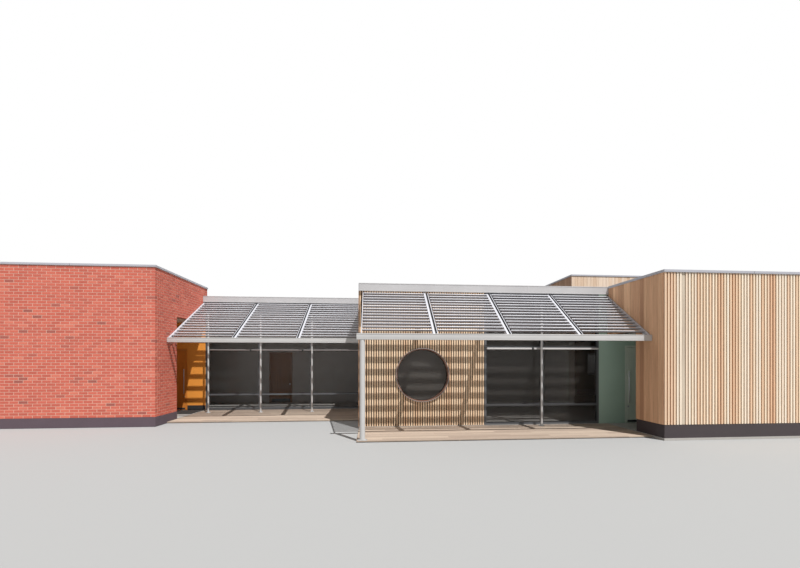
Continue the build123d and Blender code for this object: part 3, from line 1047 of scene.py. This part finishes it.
def board_panel(span, zs):
    """Flush boards of five widths in turn, over part of a wall that faces -Y."""
    boards = []
    left = 0.0
    for width in board_widths:
        board = block("board", (left, left + width), (0, board_depth), widen(zs, board_spare))
        ease_front(board, board_chamfer)
        boards.append(board)
        left += width + board_gap
    first = floor(span[0] / left)
    panel = place(join("boards", boards), (first * left - hair, 0, 0))
    array(panel, (left, 0, 0), ceil(span[1] / left) - first + 1)
    trim_panel(panel, span, zs)
    return panel


def board_wall(name, boards, tones, panels, spot, quarter, nodes, setback=0.0):
    """Boards over a dark backing, which is set back at the wall's two ends."""
    board_finish(boards, tones, spot, quarter)
    low = min(span[0] for span, zs in panels)
    high = max(span[1] for span, zs in panels)
    backs = [backing(span, zs, board_depth, timber_wall_depth,
                     (setback * (span[0] == low), setback * (span[1] == high)))
             for span, zs in panels]
    clad_wall(name, [board_panel(span, zs) for span, zs in panels], boards, backs,
              "backing_board", spot, quarter, nodes)


def boarded_faces():
    x_timber, x_right = timber_front.xs
    x_box, x_box_right = box_rear.xs
    y_face = timber_front.ys[0]
    y_rear = timber_side.ys[1]
    y_back = box_rear.ys[1]
    y_pier = timber_pier.ys[1]
    top = timber_front.zs[1]
    foot = timber_plinth_top
    wall = timber_wall_depth
    lap = batten_depth + backing_lap
    depth = y_rear - y_face
    board_wall("right_boards", "boards_right_side", brown_boards, [((lap, depth), (foot, top))],
               (x_right, y_face, 0), 1, ["timber_right_wall"])
    board_wall("porch_boards", "boards_porch_side", brown_boards,
               [((0, y_rear - y_pier), (timber_lintel.zs[0], top)),
                ((y_rear - y_pier, depth - lap), (foot, top))],
               (x_timber, y_rear, 0), -1, ["timber_porch_pier", "timber_porch_lintel"])
    back = board_depth / 2
    plinth("timber_plinth",
           [((x_timber + back, x_right - back), (y_face + back, y_face + wall)),
            ((x_right - wall, x_right - back), (y_face + wall, y_rear - back)),
            ((x_timber + back, x_timber + wall), (y_face + wall, y_pier - back)),
            ((x_box_right - wall, x_box_right - back), (y_rear - back, y_back - wall)),
            ((x_box + back, x_box_right - back), (y_back - wall, y_back - back))],
           foot, "plinth_board")


def boarded_box():
    """The taller box: pale boards to the front, brown ones at its right side and back, and darker
    copies of the brown ones, painted shade, at its left side.
    """
    x_box, x_box_right = box_rear.xs
    y_face, y_wall = box_front.ys
    y_back = box_rear.ys[1]
    top = box_rear.zs[1]
    step = timber_front.zs[1]
    foot = timber_plinth_top
    depth = y_back - y_face
    width = x_box_right - x_box
    lap = board_depth + board_gap
    set_in = board_depth + core_gap
    board_wall("box_front_boards", "boards_box_front", peach_boards, [((0, width), (step, top))],
               (x_box, y_face, 0), 0, [], set_in)
    lower = block("box_front_beam", (box_front.xs[0], timber_side.xs[0]), (y_face, y_wall),
                  (box_front.zs[0], step), core_gap)
    finish(lower, "backing_board", stands_for=["box_front_wall"])
    # The left side takes darker copies of the brown boards as painted shade
    board_wall("box_left_boards", "boards_box_left_painted_shade", painted_shade_boards,
               [((lap, y_back - y_wall), (rear_roof.zs[1], top)),
                ((y_back - y_wall, depth - lap), (step, top))],
               (x_box, y_back, 0), -1, [])
    inner = block("box_left_core", (x_box + set_in, box_left.xs[1]), box_left.ys,
                  (box_left.zs[0], top - timber_wall_depth), core_gap)
    finish(inner, "white_plaster", stands_for=["box_left_wall"])
    board_wall("box_right_boards", "boards_box_right", brown_boards,
               [((lap, y_wall - y_face), (step, top)), ((y_wall - y_face, depth - lap), (foot, top))],
               (x_box_right, y_face, 0), 1, ["box_right_wall"])
    board_wall("box_rear_boards", "boards_box_rear", brown_boards,
               round_windows(length(box_rear.xs), (foot, top), box_windows),
               (x_box_right, y_back, 0), 2, ["box_rear_wall"], set_in)


# Decks


def deck_field(xs, ys, top):
    """Planks along X, row by row, on joists."""
    rows = round(length(ys) / (plank_width + plank_gap))
    pitch = length(ys) / rows
    seat = top - plank_thickness
    plank = block("planks", widen(xs, -plank_end_gap), (ys[0], ys[0] + pitch - plank_gap),
                  (seat, top))
    ease_top(plank, plank_chamfer, 1, top)
    array(plank, (0, pitch, 0), rows)
    count = round(length(xs) / joist_step)
    start = xs[0] + joist_set_in
    joist = block("joists", (start, start + joist_width), widen(ys, -joist_set_in / 2), (0, seat),
                  slight_easing)
    array(joist, ((length(xs) - 2 * joist_set_in - joist_width) / count, 0, 0), count + 1)
    return [plank, joist]


def decks():
    top = Extent("decks").zs[1]
    pieces = deck_field(link_rail.xs, (link_rail.ys[0], link_glazing.ys[0]), top)
    pieces += deck_field(main_rail.xs, (main_rail.ys[0], slat_wall.ys[0]), top)
    finish(join("deck_planks", pieces), "deck_planks", stands_for=["decks"])


# Canopies


def blade(width):
    """One louvre blade along X: an aerofoil with a thick nose to the front."""
    chord = blade_width - blade_nose_radius - blade_tail_radius
    nose = drum("blade", (0, -chord / 2, 0), blade_nose_radius, width, "X", blade_facets)
    rear = -chord / 2 - pick_margin
    edit(nose, "EDGE",
         lambda a, b: a.y > rear and b.y > rear and abs(a.x - b.x) < pick_margin)
    bpy.ops.transform.translate(value=(0, chord, 0))
    share = blade_tail_radius / blade_nose_radius
    bpy.ops.transform.resize(value=(1, share, share), center_override=(0, chord / 2, 0))
    done()
    return nose


def coat_underside_painted_shade(piece):
    """Gives the faces that look down the piece's second material, a darker one that is painted shade.
    """
    edit(piece, "FACE", lambda centre, normal: normal.z < painted_shade_slope)
    piece.active_material_index = 1
    bpy.ops.object.material_slot_assign()
    done()


def blade_ends(width):
    """The dark cap on each end of a blade, and the pin that holds it to the side rail."""
    made = []
    reach = blade_side_gap - blade_cap_thickness
    for side in (-1, 1):
        made.append(place(blade(blade_cap_thickness),
                          (side * (width + blade_cap_thickness) / 2, 0, 0)))
        spot = (side * (width / 2 + blade_cap_thickness + reach / 2), 0, 0)
        made.append(drum("pin", spot, pin_radius, reach, "X", pin_facets))
    return join("ends", made)


def rail_rise(rail, canopy):
    """How far a canopy climbs for each metre behind its eaves rail."""
    return (canopy.zs[1] - rail.zs[1]) / (canopy.ys[1] - rail.ys[1])


def side_rail(xs, rail, canopy, easing=soft_easing, depth=panel_rail_depth, drop=0.0):
    """A side rail that slopes up from the eaves rail, cut plumb at both ends."""
    rise = rail_rise(rail, canopy)
    ys = (rail.ys[1], canopy.ys[1])
    top = rail.zs[1] - drop
    piece = block("side_rail", xs, ys, (top - depth / cos(atan2(rise, 1)), top))
    shift(piece, "FACE", lambda centre, normal: normal.y > 0.5, (0, 0, rise * length(ys)))
    ease(piece, easing, 2)
    return piece


def canopy_panels(name, rail, canopy, margin, panels, blades, underside_shade, wide_side):
    """Louvre panels as the frame has them: bright blades pinned between pairs of side rails.
    The blades' faces that look down take a darker copy of the metal, as painted shade.
    At each joint one rail is wide, the left one at -1 and the right one at 1, the other is slim,
    dark liners on the rails' gap faces are painted shade, and a dark strip closes the gap."""
    low_y = rail.ys[1]
    rise = rail_rise(rail, canopy)
    plumb = panel_rail_depth / cos(atan2(rise, 1))
    start = rail.xs[0] + margin
    pitch = (rail.xs[1] - start) / panels
    left = start + panel_gap / 2
    right = start + pitch - panel_gap / 2
    chord = blade_width - blade_nose_radius - blade_tail_radius
    nose_side = blade_nose_radius + chord / 2 * cos(blade_tilt)
    first = nose_side + blade_foot_gap
    step = (canopy.ys[1] - low_y - first - nose_side - blade_end_gap) / (blades - 1)
    width = right - left - 2 * panel_rail_width - 2 * blade_side_gap
    louvres = blade(width)
    # The blades' downward faces take the darker underside finish: painted shade
    for coating in ("louvre_metal", underside_shade):
        louvres.data.materials.append(finishes[coating])
    coat_underside_painted_shade(louvres)
    ends = blade_ends(width)
    spot = ((left + right) / 2, low_y + first, rail.zs[1] + first * rise - plumb / 2 + blade_lift)
    for part in (louvres, ends):
        place(part, spot, tilt=-blade_tilt)
        array(part, (0, step, step * rise), blades)
    low_x = left - wide_rail_spare if wide_side < 0 else left + slim_rail_loss
    high_x = right + wide_rail_spare if wide_side > 0 else right - slim_rail_loss
    rails = join("rails", [side_rail(xs, rail, canopy) for xs in (
        (low_x, left + panel_rail_width), (right - panel_rail_width, high_x))])
    # Dark liners on the rails' faces towards each joint's gap: painted shade in the gap
    shade_liners = join("shade_liners", [side_rail(xs, rail, canopy, shade_liner_easing) for xs in (
        (low_x - hair, low_x - hair + shade_liner_thickness),
        (high_x + hair - shade_liner_thickness, high_x + hair))])
    strip = side_rail((high_x + 2 * hair, low_x + pitch - 2 * hair), rail, canopy, hair,
                      joint_strip_depth, joint_strip_drop)
    array(strip, (pitch, 0, 0), panels - 1)
    strip.name = name + "_joint_strips"
    finish(strip, "gasket_rubber")
    for part, material, ending in ((louvres, None, "_blades"), (ends, "dark_metal", "_blade_ends"),
                                   (shade_liners, "dark_metal", "_rail_painted_shade_liners"),
                                   (rails, "louvre_rail_metal", "_side_rails")):
        array(part, (pitch, 0, 0), panels)
        smooth(part).name = name + ending
        finish(part, material)
    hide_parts(name)


def bolt(x, y, z):
    """A bolt head on its washer, on a plate that faces up."""
    return [drum("washer", (x, y, z + washer_thickness / 2), bolt_radius * washer_share,
                 washer_thickness, "Z", washer_facets, hair / 2),
            drum("bolt", (x, y, z + washer_thickness + bolt_height / 2), bolt_radius, bolt_height,
                 "Z", bolt_sides, hair)]


def post_row(name, spots, rise):
    """Slender posts on bolted foot plates, and the dark purlin that they carry."""
    posts = Extent(name)
    y = middle(posts.ys)
    foot = posts.zs[0]
    seat = posts.zs[1] - purlin_width * rise
    under = seat - purlin_height
    plate_top = foot + post_plate_thickness
    uprights = []
    fixings = []
    for x in spots:
        for part_foot, part_top, radius, easing, segments in (
                (foot, plate_top, post_plate_radius, slight_easing, 1),
                (foot + post_end_gap, under, post_radius, hair, 1),
                (plate_top, plate_top + collar_height, post_radius + collar_wall, soft_easing, 2)):
            uprights.append(drum("upright", (x, y, (part_foot + part_top) / 2), radius,
                                 part_top - part_foot, "Z", 32, easing, segments))
        for corner in range(4):
            turn = pi / 4 + corner * pi / 2
            reach = post_plate_radius * post_bolt_share
            fixings += bolt(x + reach * cos(turn), y + reach * sin(turn), plate_top)
    finish(smooth(join(name + "_uprights", uprights)), "rail_metal",
           stands_for=[name])
    finish(join(name + "_bolts", fixings), "brushed_steel")
    ys = around(y, purlin_width / 2)
    purlin = block(name + "_purlin", posts.xs, ys, (under, seat))
    low_z, low_y = seat - pick_margin, ys[1] - pick_margin
    shift(purlin, "EDGE", lambda a, b: min(a.z, b.z) > low_z and min(a.y, b.y) > low_y,
          (0, 0, purlin_width * rise))
    ease(purlin, plain_easing, 2)
    finish(purlin, "dark_metal")


def posts_and_column():
    """The canopies' posts, and the column on its foot plate under the hall canopy's free corner."""
    post_row("link_post_frame",
             [main_rail.xs[0] - link_post_pitch * (n + 1) for n in range(link_post_count)],
             rail_rise(link_rail, link_canopy))
    post_row("main_post_frame", [timber_front.xs[0] - main_post_from_right],
             rail_rise(main_rail, main_canopy))
    column = Extent("canopy_column")
    x, y = middle(column.xs), middle(column.ys)
    radius = length(column.ys) / 2
    foot, top = column.zs
    plate_top = foot + column_plate_thickness
    shaft = drum("shaft", (x, y, (foot + top) / 2), radius, top - foot - 2 * hair, "Z",
                 column_facets, hair)
    plate = block("plate", column.xs, column.ys, (foot, plate_top), plain_easing, 2)
    cap = drum("cap", (x, y, top - column_cap / 2), radius - hair / 2, column_cap, "Z",
               column_facets, plain_easing)
    finish(smooth(join("column", [shaft, plate, cap])), "rail_metal",
           stands_for=["canopy_column"])
    fixings = []
    for x_bolt in around(x, column_bolts[0]):
        for y_bolt in around(y, column_bolts[1]):
            fixings += bolt(x_bolt, y_bolt, plate_top)
    finish(join("column_bolts", fixings), "brushed_steel")


def eaves_rail(name, rail, node):
    """The rail along the foot of a canopy: a soft-edged tube with a lip along its top and foot."""
    front, (low, high) = rail.ys[0], rail.zs
    xs = widen(rail.xs, -rail_lip_set_in)
    parts = [block("tube", rail.xs, rail.ys, rail.zs, rail_easing, 3),
             block("lip", xs, (front - rail_lip_proud, front + rail_lip_depth),
                   (high - rail_lip_from_top[0], high - rail_lip_from_top[1]), soft_easing, 2),
             block("foot", xs, (front - rail_foot_proud, front + rail_lip_depth),
                   (low + rail_foot_from_foot[0], low + rail_foot_from_foot[1]), plain_easing, 2)]
    finish(smooth(join(name, parts)), "rail_metal", stands_for=[node])


def fascia_lips(name, fascia):
    """The top flange, the drip along the foot, and the cover straps over the fascia's joints."""
    front, (low, high) = fascia.ys[0], fascia.zs
    made = [block("lip", fascia.xs, (front - proud, front + fascia_lip_depth),
                  (edge + span[0], edge + span[1]), plain_easing, 2)
            for edge, span, proud in ((high, fascia_lip_from_top, fascia_lip_proud),
                                      (low, drip_from_foot, drip_proud))]
    for n in range(1, fascia_straps):
        x = fascia.xs[0] + length(fascia.xs) * n / fascia_straps
        made.append(block("strap", around(x, strap_half), (front - strap_proud, front + strap_depth),
                          (low + strap_from_foot, high - strap_from_top), hair))
    finish(join(name, made), "fascia_metal")


def canopies():
    # Each canopy passes the darker finish that is painted on its blades' undersides as shade
    canopy_panels("main_canopy", main_rail, main_canopy, canopy_margin, main_panels, main_blades,
                  "louvre_underside_painted_shade", 1)
    canopy_panels("link_canopy", link_rail, link_canopy, 0.0, link_panels, link_blades,
                  "link_louvre_underside_painted_shade", -1)
    eaves_rail("main_eaves_rail", main_rail, "main_canopy_rail")
    eaves_rail("link_eaves_rail", link_rail, "link_canopy_rail")
    fascia_lips("main_fascia_trim", main_fascia)
    fascia_lips("link_fascia_trim", link_fascia)


# Copings and roofs


def coping_run(xs, ys, zs, along):
    """Coping lengths end to end over a wall, and the seal that shows in the joints between them."""
    span = (xs, ys)[along]
    count = max(1, round(length(span) / coping_length))
    pitch = (length(span) + coping_joint) / count
    part = (span[0], span[0] + pitch - coping_joint)
    sides, step = ((xs, part), (0, pitch, 0)) if along else ((part, ys), (pitch, 0, 0))
    lengths = block("lengths", *sides, zs, coping_easing, 2)
    array(lengths, step, count)
    seal = block("seal", widen(xs, -coping_seal), widen(ys, -coping_seal),
                 (zs[0] + hair, zs[1] - coping_seal), slight_easing)
    return lengths, seal


def coping(node, runs):
    zs = Extent(node).zs
    made = [coping_run(xs, ys, zs, along) for xs, ys, along in runs]
    lengths = join(node + "_lengths", [pair[0] for pair in made])
    finish(lengths, "coping_metal", stands_for=[node])
    finish(join(node + "_seals", [pair[1] for pair in made]), "gasket_rubber")


def coping_ring(node, wall):
    """The four runs of a coping round a block."""
    extent = Extent(node)
    xs, ys = extent.xs, extent.ys
    width = wall + coping_overhang + coping_lap
    sides = (ys[0] + width + coping_joint, ys[1] - width - coping_joint)
    coping(node, [(xs, (ys[0], ys[0] + width), 0), (xs, (ys[1] - width, ys[1]), 0),
                  ((xs[0], xs[0] + width), sides, 1), ((xs[1] - width, xs[1]), sides, 1)])


def copings():
    coping_ring("brick_coping", brick_wall_depth)
    coping_ring("box_coping", timber_wall_depth)
    extent = Extent("timber_coping")
    (x_low, x_high), (y_low, y_high) = extent.xs, extent.ys
    width = timber_wall_depth + coping_overhang + coping_lap
    behind = y_low + width + coping_joint
    x_wall = timber_front.xs[0]
    y_fascia = main_fascia.ys[0]
    y_box = box_front.ys[0]
    y_lap = y_box - coping_lap
    coping("timber_coping",
           [((x_low, x_high), (y_low, y_low + width), 0),
            ((x_low, x_low + width), (behind, y_fascia), 1),
            ((x_wall, x_low + width), (y_fascia + coping_joint, y_lap - coping_joint), 1),
            ((x_wall, box_rear.xs[0]), (y_lap, y_high), 0),
            ((x_high - width, x_high), (behind, y_box), 1),
            ((box_rear.xs[1], x_high), (y_box + coping_joint, y_high), 1)])


def felt_laps(xs, ys, top):
    """The lapped edges of the roofing sheets, which run from front to back."""
    count = max(1, round(length(xs) / felt_width))
    return [block("lap", around(xs[0] + length(xs) / count * n, felt_lap_half),
                  widen(ys, -felt_end_gap), (top - core_gap, top + felt_thickness), slight_easing)
            for n in range(1, count)]


def roof_outlet(x, y, top):
    """A rainwater outlet: a flange dressed into the felt under a slotted dome."""
    flange = drum("flange", (x, y, top + outlet_flange_lift), outlet_flange, outlet_flange_depth,
                  "Z", outlet_facets, plain_easing, 2)
    foot = top + outlet_dome_lift
    dome = drum("dome", (x, y, foot + outlet_height / 2), outlet_dome, outlet_height, "Z")
    ease_top(dome, outlet_easing, 4, foot + outlet_height)
    edit(dome, "FACE", lambda centre, normal: abs(normal.z) < 0.1)
    bpy.ops.mesh.inset(thickness=outlet_slot, use_individual=True)
    bpy.ops.transform.resize(value=(outlet_slot_share, outlet_slot_share, 1),
                             center_override=(x, y, top))
    done()
    return [flange, dome]


def rim(xs, ys, width):
    """The four strips along the inside of a field's edges."""
    return ((xs, (ys[0], ys[0] + width)), (xs, (ys[1] - width, ys[1])),
            ((xs[0], xs[0] + width), ys), ((xs[1] - width, xs[1]), ys))


def roofing():
    """Felt laps on every flat roof, kerbs and upstands inside the parapets, and the outlets."""
    x_brick, x_link = brick_front.xs
    walled = [((x_brick + brick_wall_depth, x_link - brick_wall_depth),
               (brick_front.ys[1], brick_beam.ys[0]), brick_front.zs[1] - parapet_rise),
              ((timber_front.xs[0] + timber_wall_depth, timber_side.xs[0]),
               (timber_front.ys[1], box_front.ys[0]), timber_front.zs[1] - parapet_rise),
              ((box_left.xs[1], box_right.xs[0]), (box_front.ys[1], box_rear.ys[0]),
               box_rear.zs[1] - parapet_rise)]
    open_edged = [(main_roof.xs, (main_fascia.ys[1] + felt_behind_fascia, rear_roof.ys[0]),
                   main_roof.zs[1]),
                  ((rear_roof.xs[0], box_rear.xs[0]), (brick_beam.ys[1], rear_roof.ys[1]),
                   rear_roof.zs[1])]
    laps = []
    outlets = []
    for xs, ys, top in walled + open_edged:
        laps += felt_laps(xs, ys, top)
        outlets += roof_outlet(xs[0] + length(xs) * outlet_share, ys[1] - outlet_from_edge, top)
    kerbs = []
    for xs, ys, top in walled:
        for across, deep in rim(xs, ys, kerb_width):
            kerb = block("kerb", across, deep, (top - core_gap, top + kerb_width))
            ease_top(kerb, kerb_chamfer, 2, top + kerb_width)
            kerbs.append(kerb)
        kerbs += [block("upstand", across, deep, (top + upstand_foot, top + parapet_rise - core_gap),
                        slight_easing) for across, deep in rim(xs, ys, upstand)]
    finish(join("felt_laps", laps), "roofing_felt")
    finish(join("felt_kerbs", kerbs), "roofing_felt")
    finish(smooth(join("roof_outlets", outlets)), "dark_metal")


def roof_edge_trim():
    """The metal trim along the open edges of the low roofs: upright faces and flat flanges."""
    x_left, y_back = rear_roof.xs[0], rear_roof.ys[1]
    x_hall = main_roof.xs[0]
    y_front = brick_beam.ys[1] + edge_end_gap
    hall_ys = (main_fascia.ys[1] + core_gap, link_fascia.ys[0] - edge_from_link)
    rear_zs = (rear_roof.zs[0] - edge_drop, rear_roof.zs[1] + edge_rise)
    hall_zs = (main_roof.zs[0] - edge_drop, main_roof.zs[1] + edge_rise)
    pitch = length(rear_roof.xs) / edge_lengths
    face = block("trim", (x_left - edge_face, x_left - edge_face + pitch - coping_joint),
                 (y_back - edge_lap, y_back + edge_face), rear_zs, plain_easing, 2)
    array(face, (pitch, 0, 0), edge_lengths)
    made = [face]
    out = edge_flange_proud
    for x, ys, zs in ((x_left, (y_front, y_back - out), rear_zs), (x_hall, hall_ys, hall_zs)):
        made.append(block("trim", (x - edge_face, x + edge_lap), ys, zs, plain_easing, 2))
    for xs, ys, top in (((x_left - out, box_rear.xs[0] - edge_end_gap),
                         (y_back - edge_flange, y_back + out), rear_roof.zs[1]),
                        ((x_left - out, x_left + edge_flange),
                         (y_front, y_back - edge_flange - core_gap), rear_roof.zs[1]),
                        ((x_hall - out, x_hall + edge_flange), hall_ys, main_roof.zs[1])):
        made.append(block("trim", xs, ys, (top - core_gap, top + out), plain_easing))
    finish(join("roof_edge_trim", made), "coping_metal")


# Windows at the back


def rear_window_parts():
    """Sills, middle bars and gaskets of the windows at the back."""
    sills = []
    bars = []
    seals = []
    frames = Extent("rear_window_frames")
    pane = Extent("rear_window_glass")
    face = rear_wall.ys[1]
    half = window_width / 2
    clear = widen(window_zs, -window_frame_width)
    high_side = window_sill + sill_top - pick_margin
    for wall, count in ((rear_wall, rear_windows), (box_rear, box_windows)):
        for across in window_row(length(wall.xs), count):
            x = wall.xs[1] - middle(across)
            sill = block("sill", around(x, half - plain_easing), (frames.ys[1], face + sill_proud),
                         (window_sill + core_gap, window_sill + sill_top))
            shift(sill, "EDGE", lambda a, b: min(a.y, b.y) > face and min(a.z, b.z) > high_side,
                  (0, 0, -sill_fall))
            ease(sill, plain_easing, 2)
            sills.append(sill)
            bars.append(block("bar", around(x, window_bar), widen(frames.ys, -window_bar_recess),
                              clear, soft_easing, 2))
            reach = half - window_frame_width
            for xs in ((x - reach, x - window_bar), (x + window_bar, x + reach)):
                seals += [opened(block("seal", xs, ys, clear), gasket_width)
                          for ys in both_faces(pane.ys, gasket_depth)]
    finish(join("rear_window_sills", sills), "fascia_metal")
    finish(join("rear_window_bars", bars), "frame_metal")
    finish(join("rear_window_gaskets", seals), "gasket_rubber")


# Doors


def kick_plate(body, xs, face, zs):
    ys = (face + kick_plate_faces[0], face + kick_plate_faces[1])
    plate = block(body + "_kick_plate", xs, ys, zs, kick_plate_easing)
    finish(plate, "dark_metal", body)


def lock_rosette(body, x, face, z, radius, keyhole):
    """The round plate of a lock, sunk round its keyhole where one is given."""
    rosette = drum(body + "_lock", (x, face - rosette_sunk, z), radius, rosette_depth, "Y")
    ease(rosette, fitting_easing, 2, lambda a, b: abs(a.y - b.y) < pick_margin)
    if keyhole:
        edit(rosette, "FACE", lambda centre, normal: normal.y < -0.9)
        bpy.ops.mesh.inset(thickness=keyhole)
        bpy.ops.transform.translate(value=(0, fitting_easing, 0))
        done()
    finish(smooth(rosette), "brushed_steel", body)


def glazed_door(body, side):
    """Gaskets, a kick plate and a pull sleeve on the leaf, and the threshold under it."""
    leaf = Extent(body + "_leaf")
    pane = Extent(body + "_pane")
    jambs = Extent(body + "_frame").xs
    face = leaf.ys[1] - leaf_thickness
    seals = [opened(block("seal", pane.xs, ys, pane.zs), door_gasket_width)
             for ys in both_faces(pane.ys, door_gasket_depth)]
    finish(join(body + "_gaskets", seals), "gasket_rubber", body)
    hinge, lock = pane.xs[0] - leaf_stile, pane.xs[1] + leaf_lock_stile
    if side < 0:
        hinge, lock = pane.xs[1] + leaf_stile, pane.xs[0] - leaf_lock_stile
    kick_plate(body, widen((min(hinge, lock), max(hinge, lock)), -kick_plate_set_in), face,
               (leaf.zs[0] + kick_plate_foot, pane.zs[0] - kick_plate_head))
    x_pull = lock - side * leaf_stile / 2
    sleeve = drum(body + "_pull_sleeve", (x_pull, face - handle_reach, handle_height),
                  handle_radius + hair, pull_length - 2 * pull_end_gap, "Z")
    ease(sleeve, fitting_easing, 2, lambda a, b: abs(a.z - b.z) < pick_margin)
    finish(smooth(sleeve), "brushed_steel", body)
    lock_rosette(body, x_pull, face, handle_height - pull_length / 2 - lock_below_pull,
                 lock_radius, keyhole_inset)
    threshold = block(body + "_threshold", widen(jambs, -door_jamb), (face, face + threshold_depth),
                      (floor_top, floor_top + threshold_rise), fitting_easing)
    finish(threshold, "brushed_steel")


def doors():
    glazed_door("left_door", 1)
    glazed_door("right_door", -1)
    leaf = Extent("corridor_door_leaf")
    face = leaf.ys[1] - leaf_thickness
    left, right = corridor_kick_from_sides
    kick_plate("corridor_door", (leaf.xs[0] + left, leaf.xs[1] - right), face,
               (leaf.zs[0] + kick_plate_foot, leaf.zs[0] + corridor_kick_top))
    lock_rosette("corridor_door", leaf.xs[1] - leaf_stile / 2, face,
                 handle_height - corridor_lock_drop, corridor_lock_radius, 0)


def entrance_foot():
    """The dark strip along the foot of the orange wall, and the ribbed mat in front of the door."""
    wall = Extent("orange_entrance_wall")
    x_door = Extent("left_door_frame").xs[1]
    x_porch = Extent("left_porch_side_wall").xs[1]
    x_end, y_face = wall.xs[1], wall.ys[0]
    strip = block("orange_wall_foot", (x_door + core_gap, x_end - foot_strip_gap),
                  (y_face - foot_strip_proud, y_face + hair), (floor_top + hair, foot_strip_top),
                  plain_easing, 2)
    finish(strip, "dark_metal")
    rib = block("entrance_mat", (x_porch + mat_from_porch, x_end - mat_from_door),
                (mat_front, mat_front + mat_rib), (floor_top, floor_top + threshold_rise), hair)
    array(rib, (0, mat_step, 0), floor((y_face - mat_from_wall - mat_front) / mat_step))
    finish(rib, "mat_rubber")


# Glazing


def bay_width(screen, bays):
    return (length(screen.xs) - mullion_width) / bays


def gaskets(name, screen, bays):
    """Black gaskets round every pane between the mullions and rails, on both faces of the glass."""
    half = mullion_width / 2
    sill, transom = around(sill_rail_height, half), around(transom_height, half)
    heights = ((screen.zs[0] + mullion_width, sill[0]), (sill[1], transom[0]),
               (transom[1], screen.zs[1] - mullion_width))
    glass = around(screen.ys[0] + mullion_depth / 2, glass_thickness / 2)
    bay = bay_width(screen, bays)
    made = []
    for n in range(bays):
        left = screen.xs[0] + mullion_width + n * bay
        for zs in heights:
            made += [opened(block("gasket", (left, left + bay - mullion_width), ys, zs), gasket_width)
                     for ys in both_faces(glass, gasket_depth)]
    finish(join(name, made), "gasket_rubber")


def transom_cover(name, screen, bays, reach, drop, material):
    """Pale covers clipped over the front of the transom, with a dark sleeve at each joint."""
    ys = (screen.ys[0] - reach, screen.ys[0] + cover_margin)
    zs = around(transom_height - drop, mullion_width / 2 - cover_margin)
    left = screen.xs[0] + mullion_width
    joints = [around(screen.xs[0] + mullion_width / 2 + bay_width(screen, bays) * n
                     - cover_joint_place, cover_joint / 2) for n in range(1, bays)]
    covers = []
    for joint in joints + [(screen.xs[1] - mullion_width, None)]:
        covers.append(block("cover", (left, joint[0]), ys, zs, soft_easing, 2))
        left = joint[1]
    sleeves = [block("sleeve", joint, (ys[0] + sleeve_recess, ys[1]), widen(zs, -cover_margin),
                     slight_easing) for joint in joints]
    finish(join(name, covers), material)
    finish(join(name + "_sleeves", sleeves), "dark_metal")


def round_ring(name, outer, width, ys):
    """A ring round the middle of the round window."""
    centre = (middle(round_frame.xs), middle(ys), middle(round_frame.zs))
    return opened(drum(name, centre, outer, length(ys), "Y", porthole_facets), width)


def porthole():
    """The round window: a slim metal bead, a timber lining and a dark gasket at the glass."""
    pane = Extent("round_window_glass")
    radius = length(round_frame.xs) / 2
    clear = length(pane.xs) / 2
    front, back = round_frame.ys
    bead = round_ring("porthole_bead", radius, bead_width, (front, front + bead_depth))
    ease(bead, soft_easing, 2)
    finish(smooth(bead), "ring_metal", stands_for=["round_window_frame"])
    lining = round_ring("porthole_lining", radius - core_gap, radius - clear - hair,
                        (front + bead_width, back))
    ease(lining, hair)
    finish(smooth(lining), "lining_wood")
    glass = around(middle(pane.ys), glass_thickness / 2)
    seal = join("porthole_seal", [round_ring("seal", clear, bead_width, ys)
                                  for ys in both_faces(glass, bead_width)])
    finish(smooth(seal), "gasket_rubber")


def glazing():
    gaskets("main_glazing_gaskets", main_glazing, main_bays)
    gaskets("link_glazing_gaskets", link_glazing, link_bays)
    transom_cover("main_transom_cover", main_glazing, main_bays, hall_cover_reach,
                  hall_cover_drop, "hall_transom_metal")
    # The link's cover takes the darker copy of the transom finish, painted shade
    transom_cover("link_transom_cover", link_glazing, link_bays, link_cover_reach, 0.0,
                  "link_transom_painted_shade")
    porthole()


# The floor round the building, the lights and the camera


def surroundings():
    deselect()
    bpy.ops.mesh.primitive_plane_add(size=ground_size, location=ground_centre)
    ground = bpy.context.object
    ground.name = "floor"
    surface(new_material("pale_floor"), ground_colour, 0.9)
    coat(ground, "pale_floor")


def background():
    """An even soft light, which rays from the camera and from gloss or glass see as white."""
    world = bpy.data.worlds.new("sky")
    bpy.context.scene.world = world
    world.use_nodes = True
    tree = world.node_tree
    tree.nodes.clear()
    path = tree.nodes.new("ShaderNodeLightPath")
    camera, gloss, through = [Field(tree, path.outputs[ray]) for ray in (
        "Is Camera Ray", "Is Glossy Ray", "Is Transmission Ray")]
    strength = fill_strength + (camera + gloss + through).clamped() * (1 - fill_strength)
    shade = camera.node("ShaderNodeBackground", {"Color": (1, 1, 1, 1), "Strength": strength})
    end = tree.nodes.new("ShaderNodeOutputWorld")
    tree.links.new(shade.socket, end.inputs["Surface"])


def sun():
    deselect()
    bpy.ops.object.light_add(type="SUN", location=sun_spot)
    lamp = bpy.context.object
    lamp.name = "sun"
    lamp.rotation_euler = Vector(sun_direction).to_track_quat("-Z", "Y").to_euler()
    lamp.data.energy = sun_strength
    lamp.data.angle = sun_spread


def camera():
    """The photograph's eye, at standing height in front of the link and the hall."""
    deselect()
    bpy.ops.object.camera_add(location=eye_spot, rotation=eye_turn)
    eye = bpy.context.object
    eye.data.lens = eye_lens
    eye.data.sensor_width = eye_sensor
    eye.data.shift_x, eye.data.shift_y = eye_shift
    bpy.context.scene.camera = eye


brickwork()
timber_front_face()
hall_slats_face()
boarded_faces()
boarded_box()
decks()
canopies()
posts_and_column()
copings()
roofing()
roof_edge_trim()
rear_window_parts()
doors()
entrance_foot()
glazing()
surroundings()
background()
sun()
camera()
bpy.context.scene.view_settings.view_transform = "Standard"
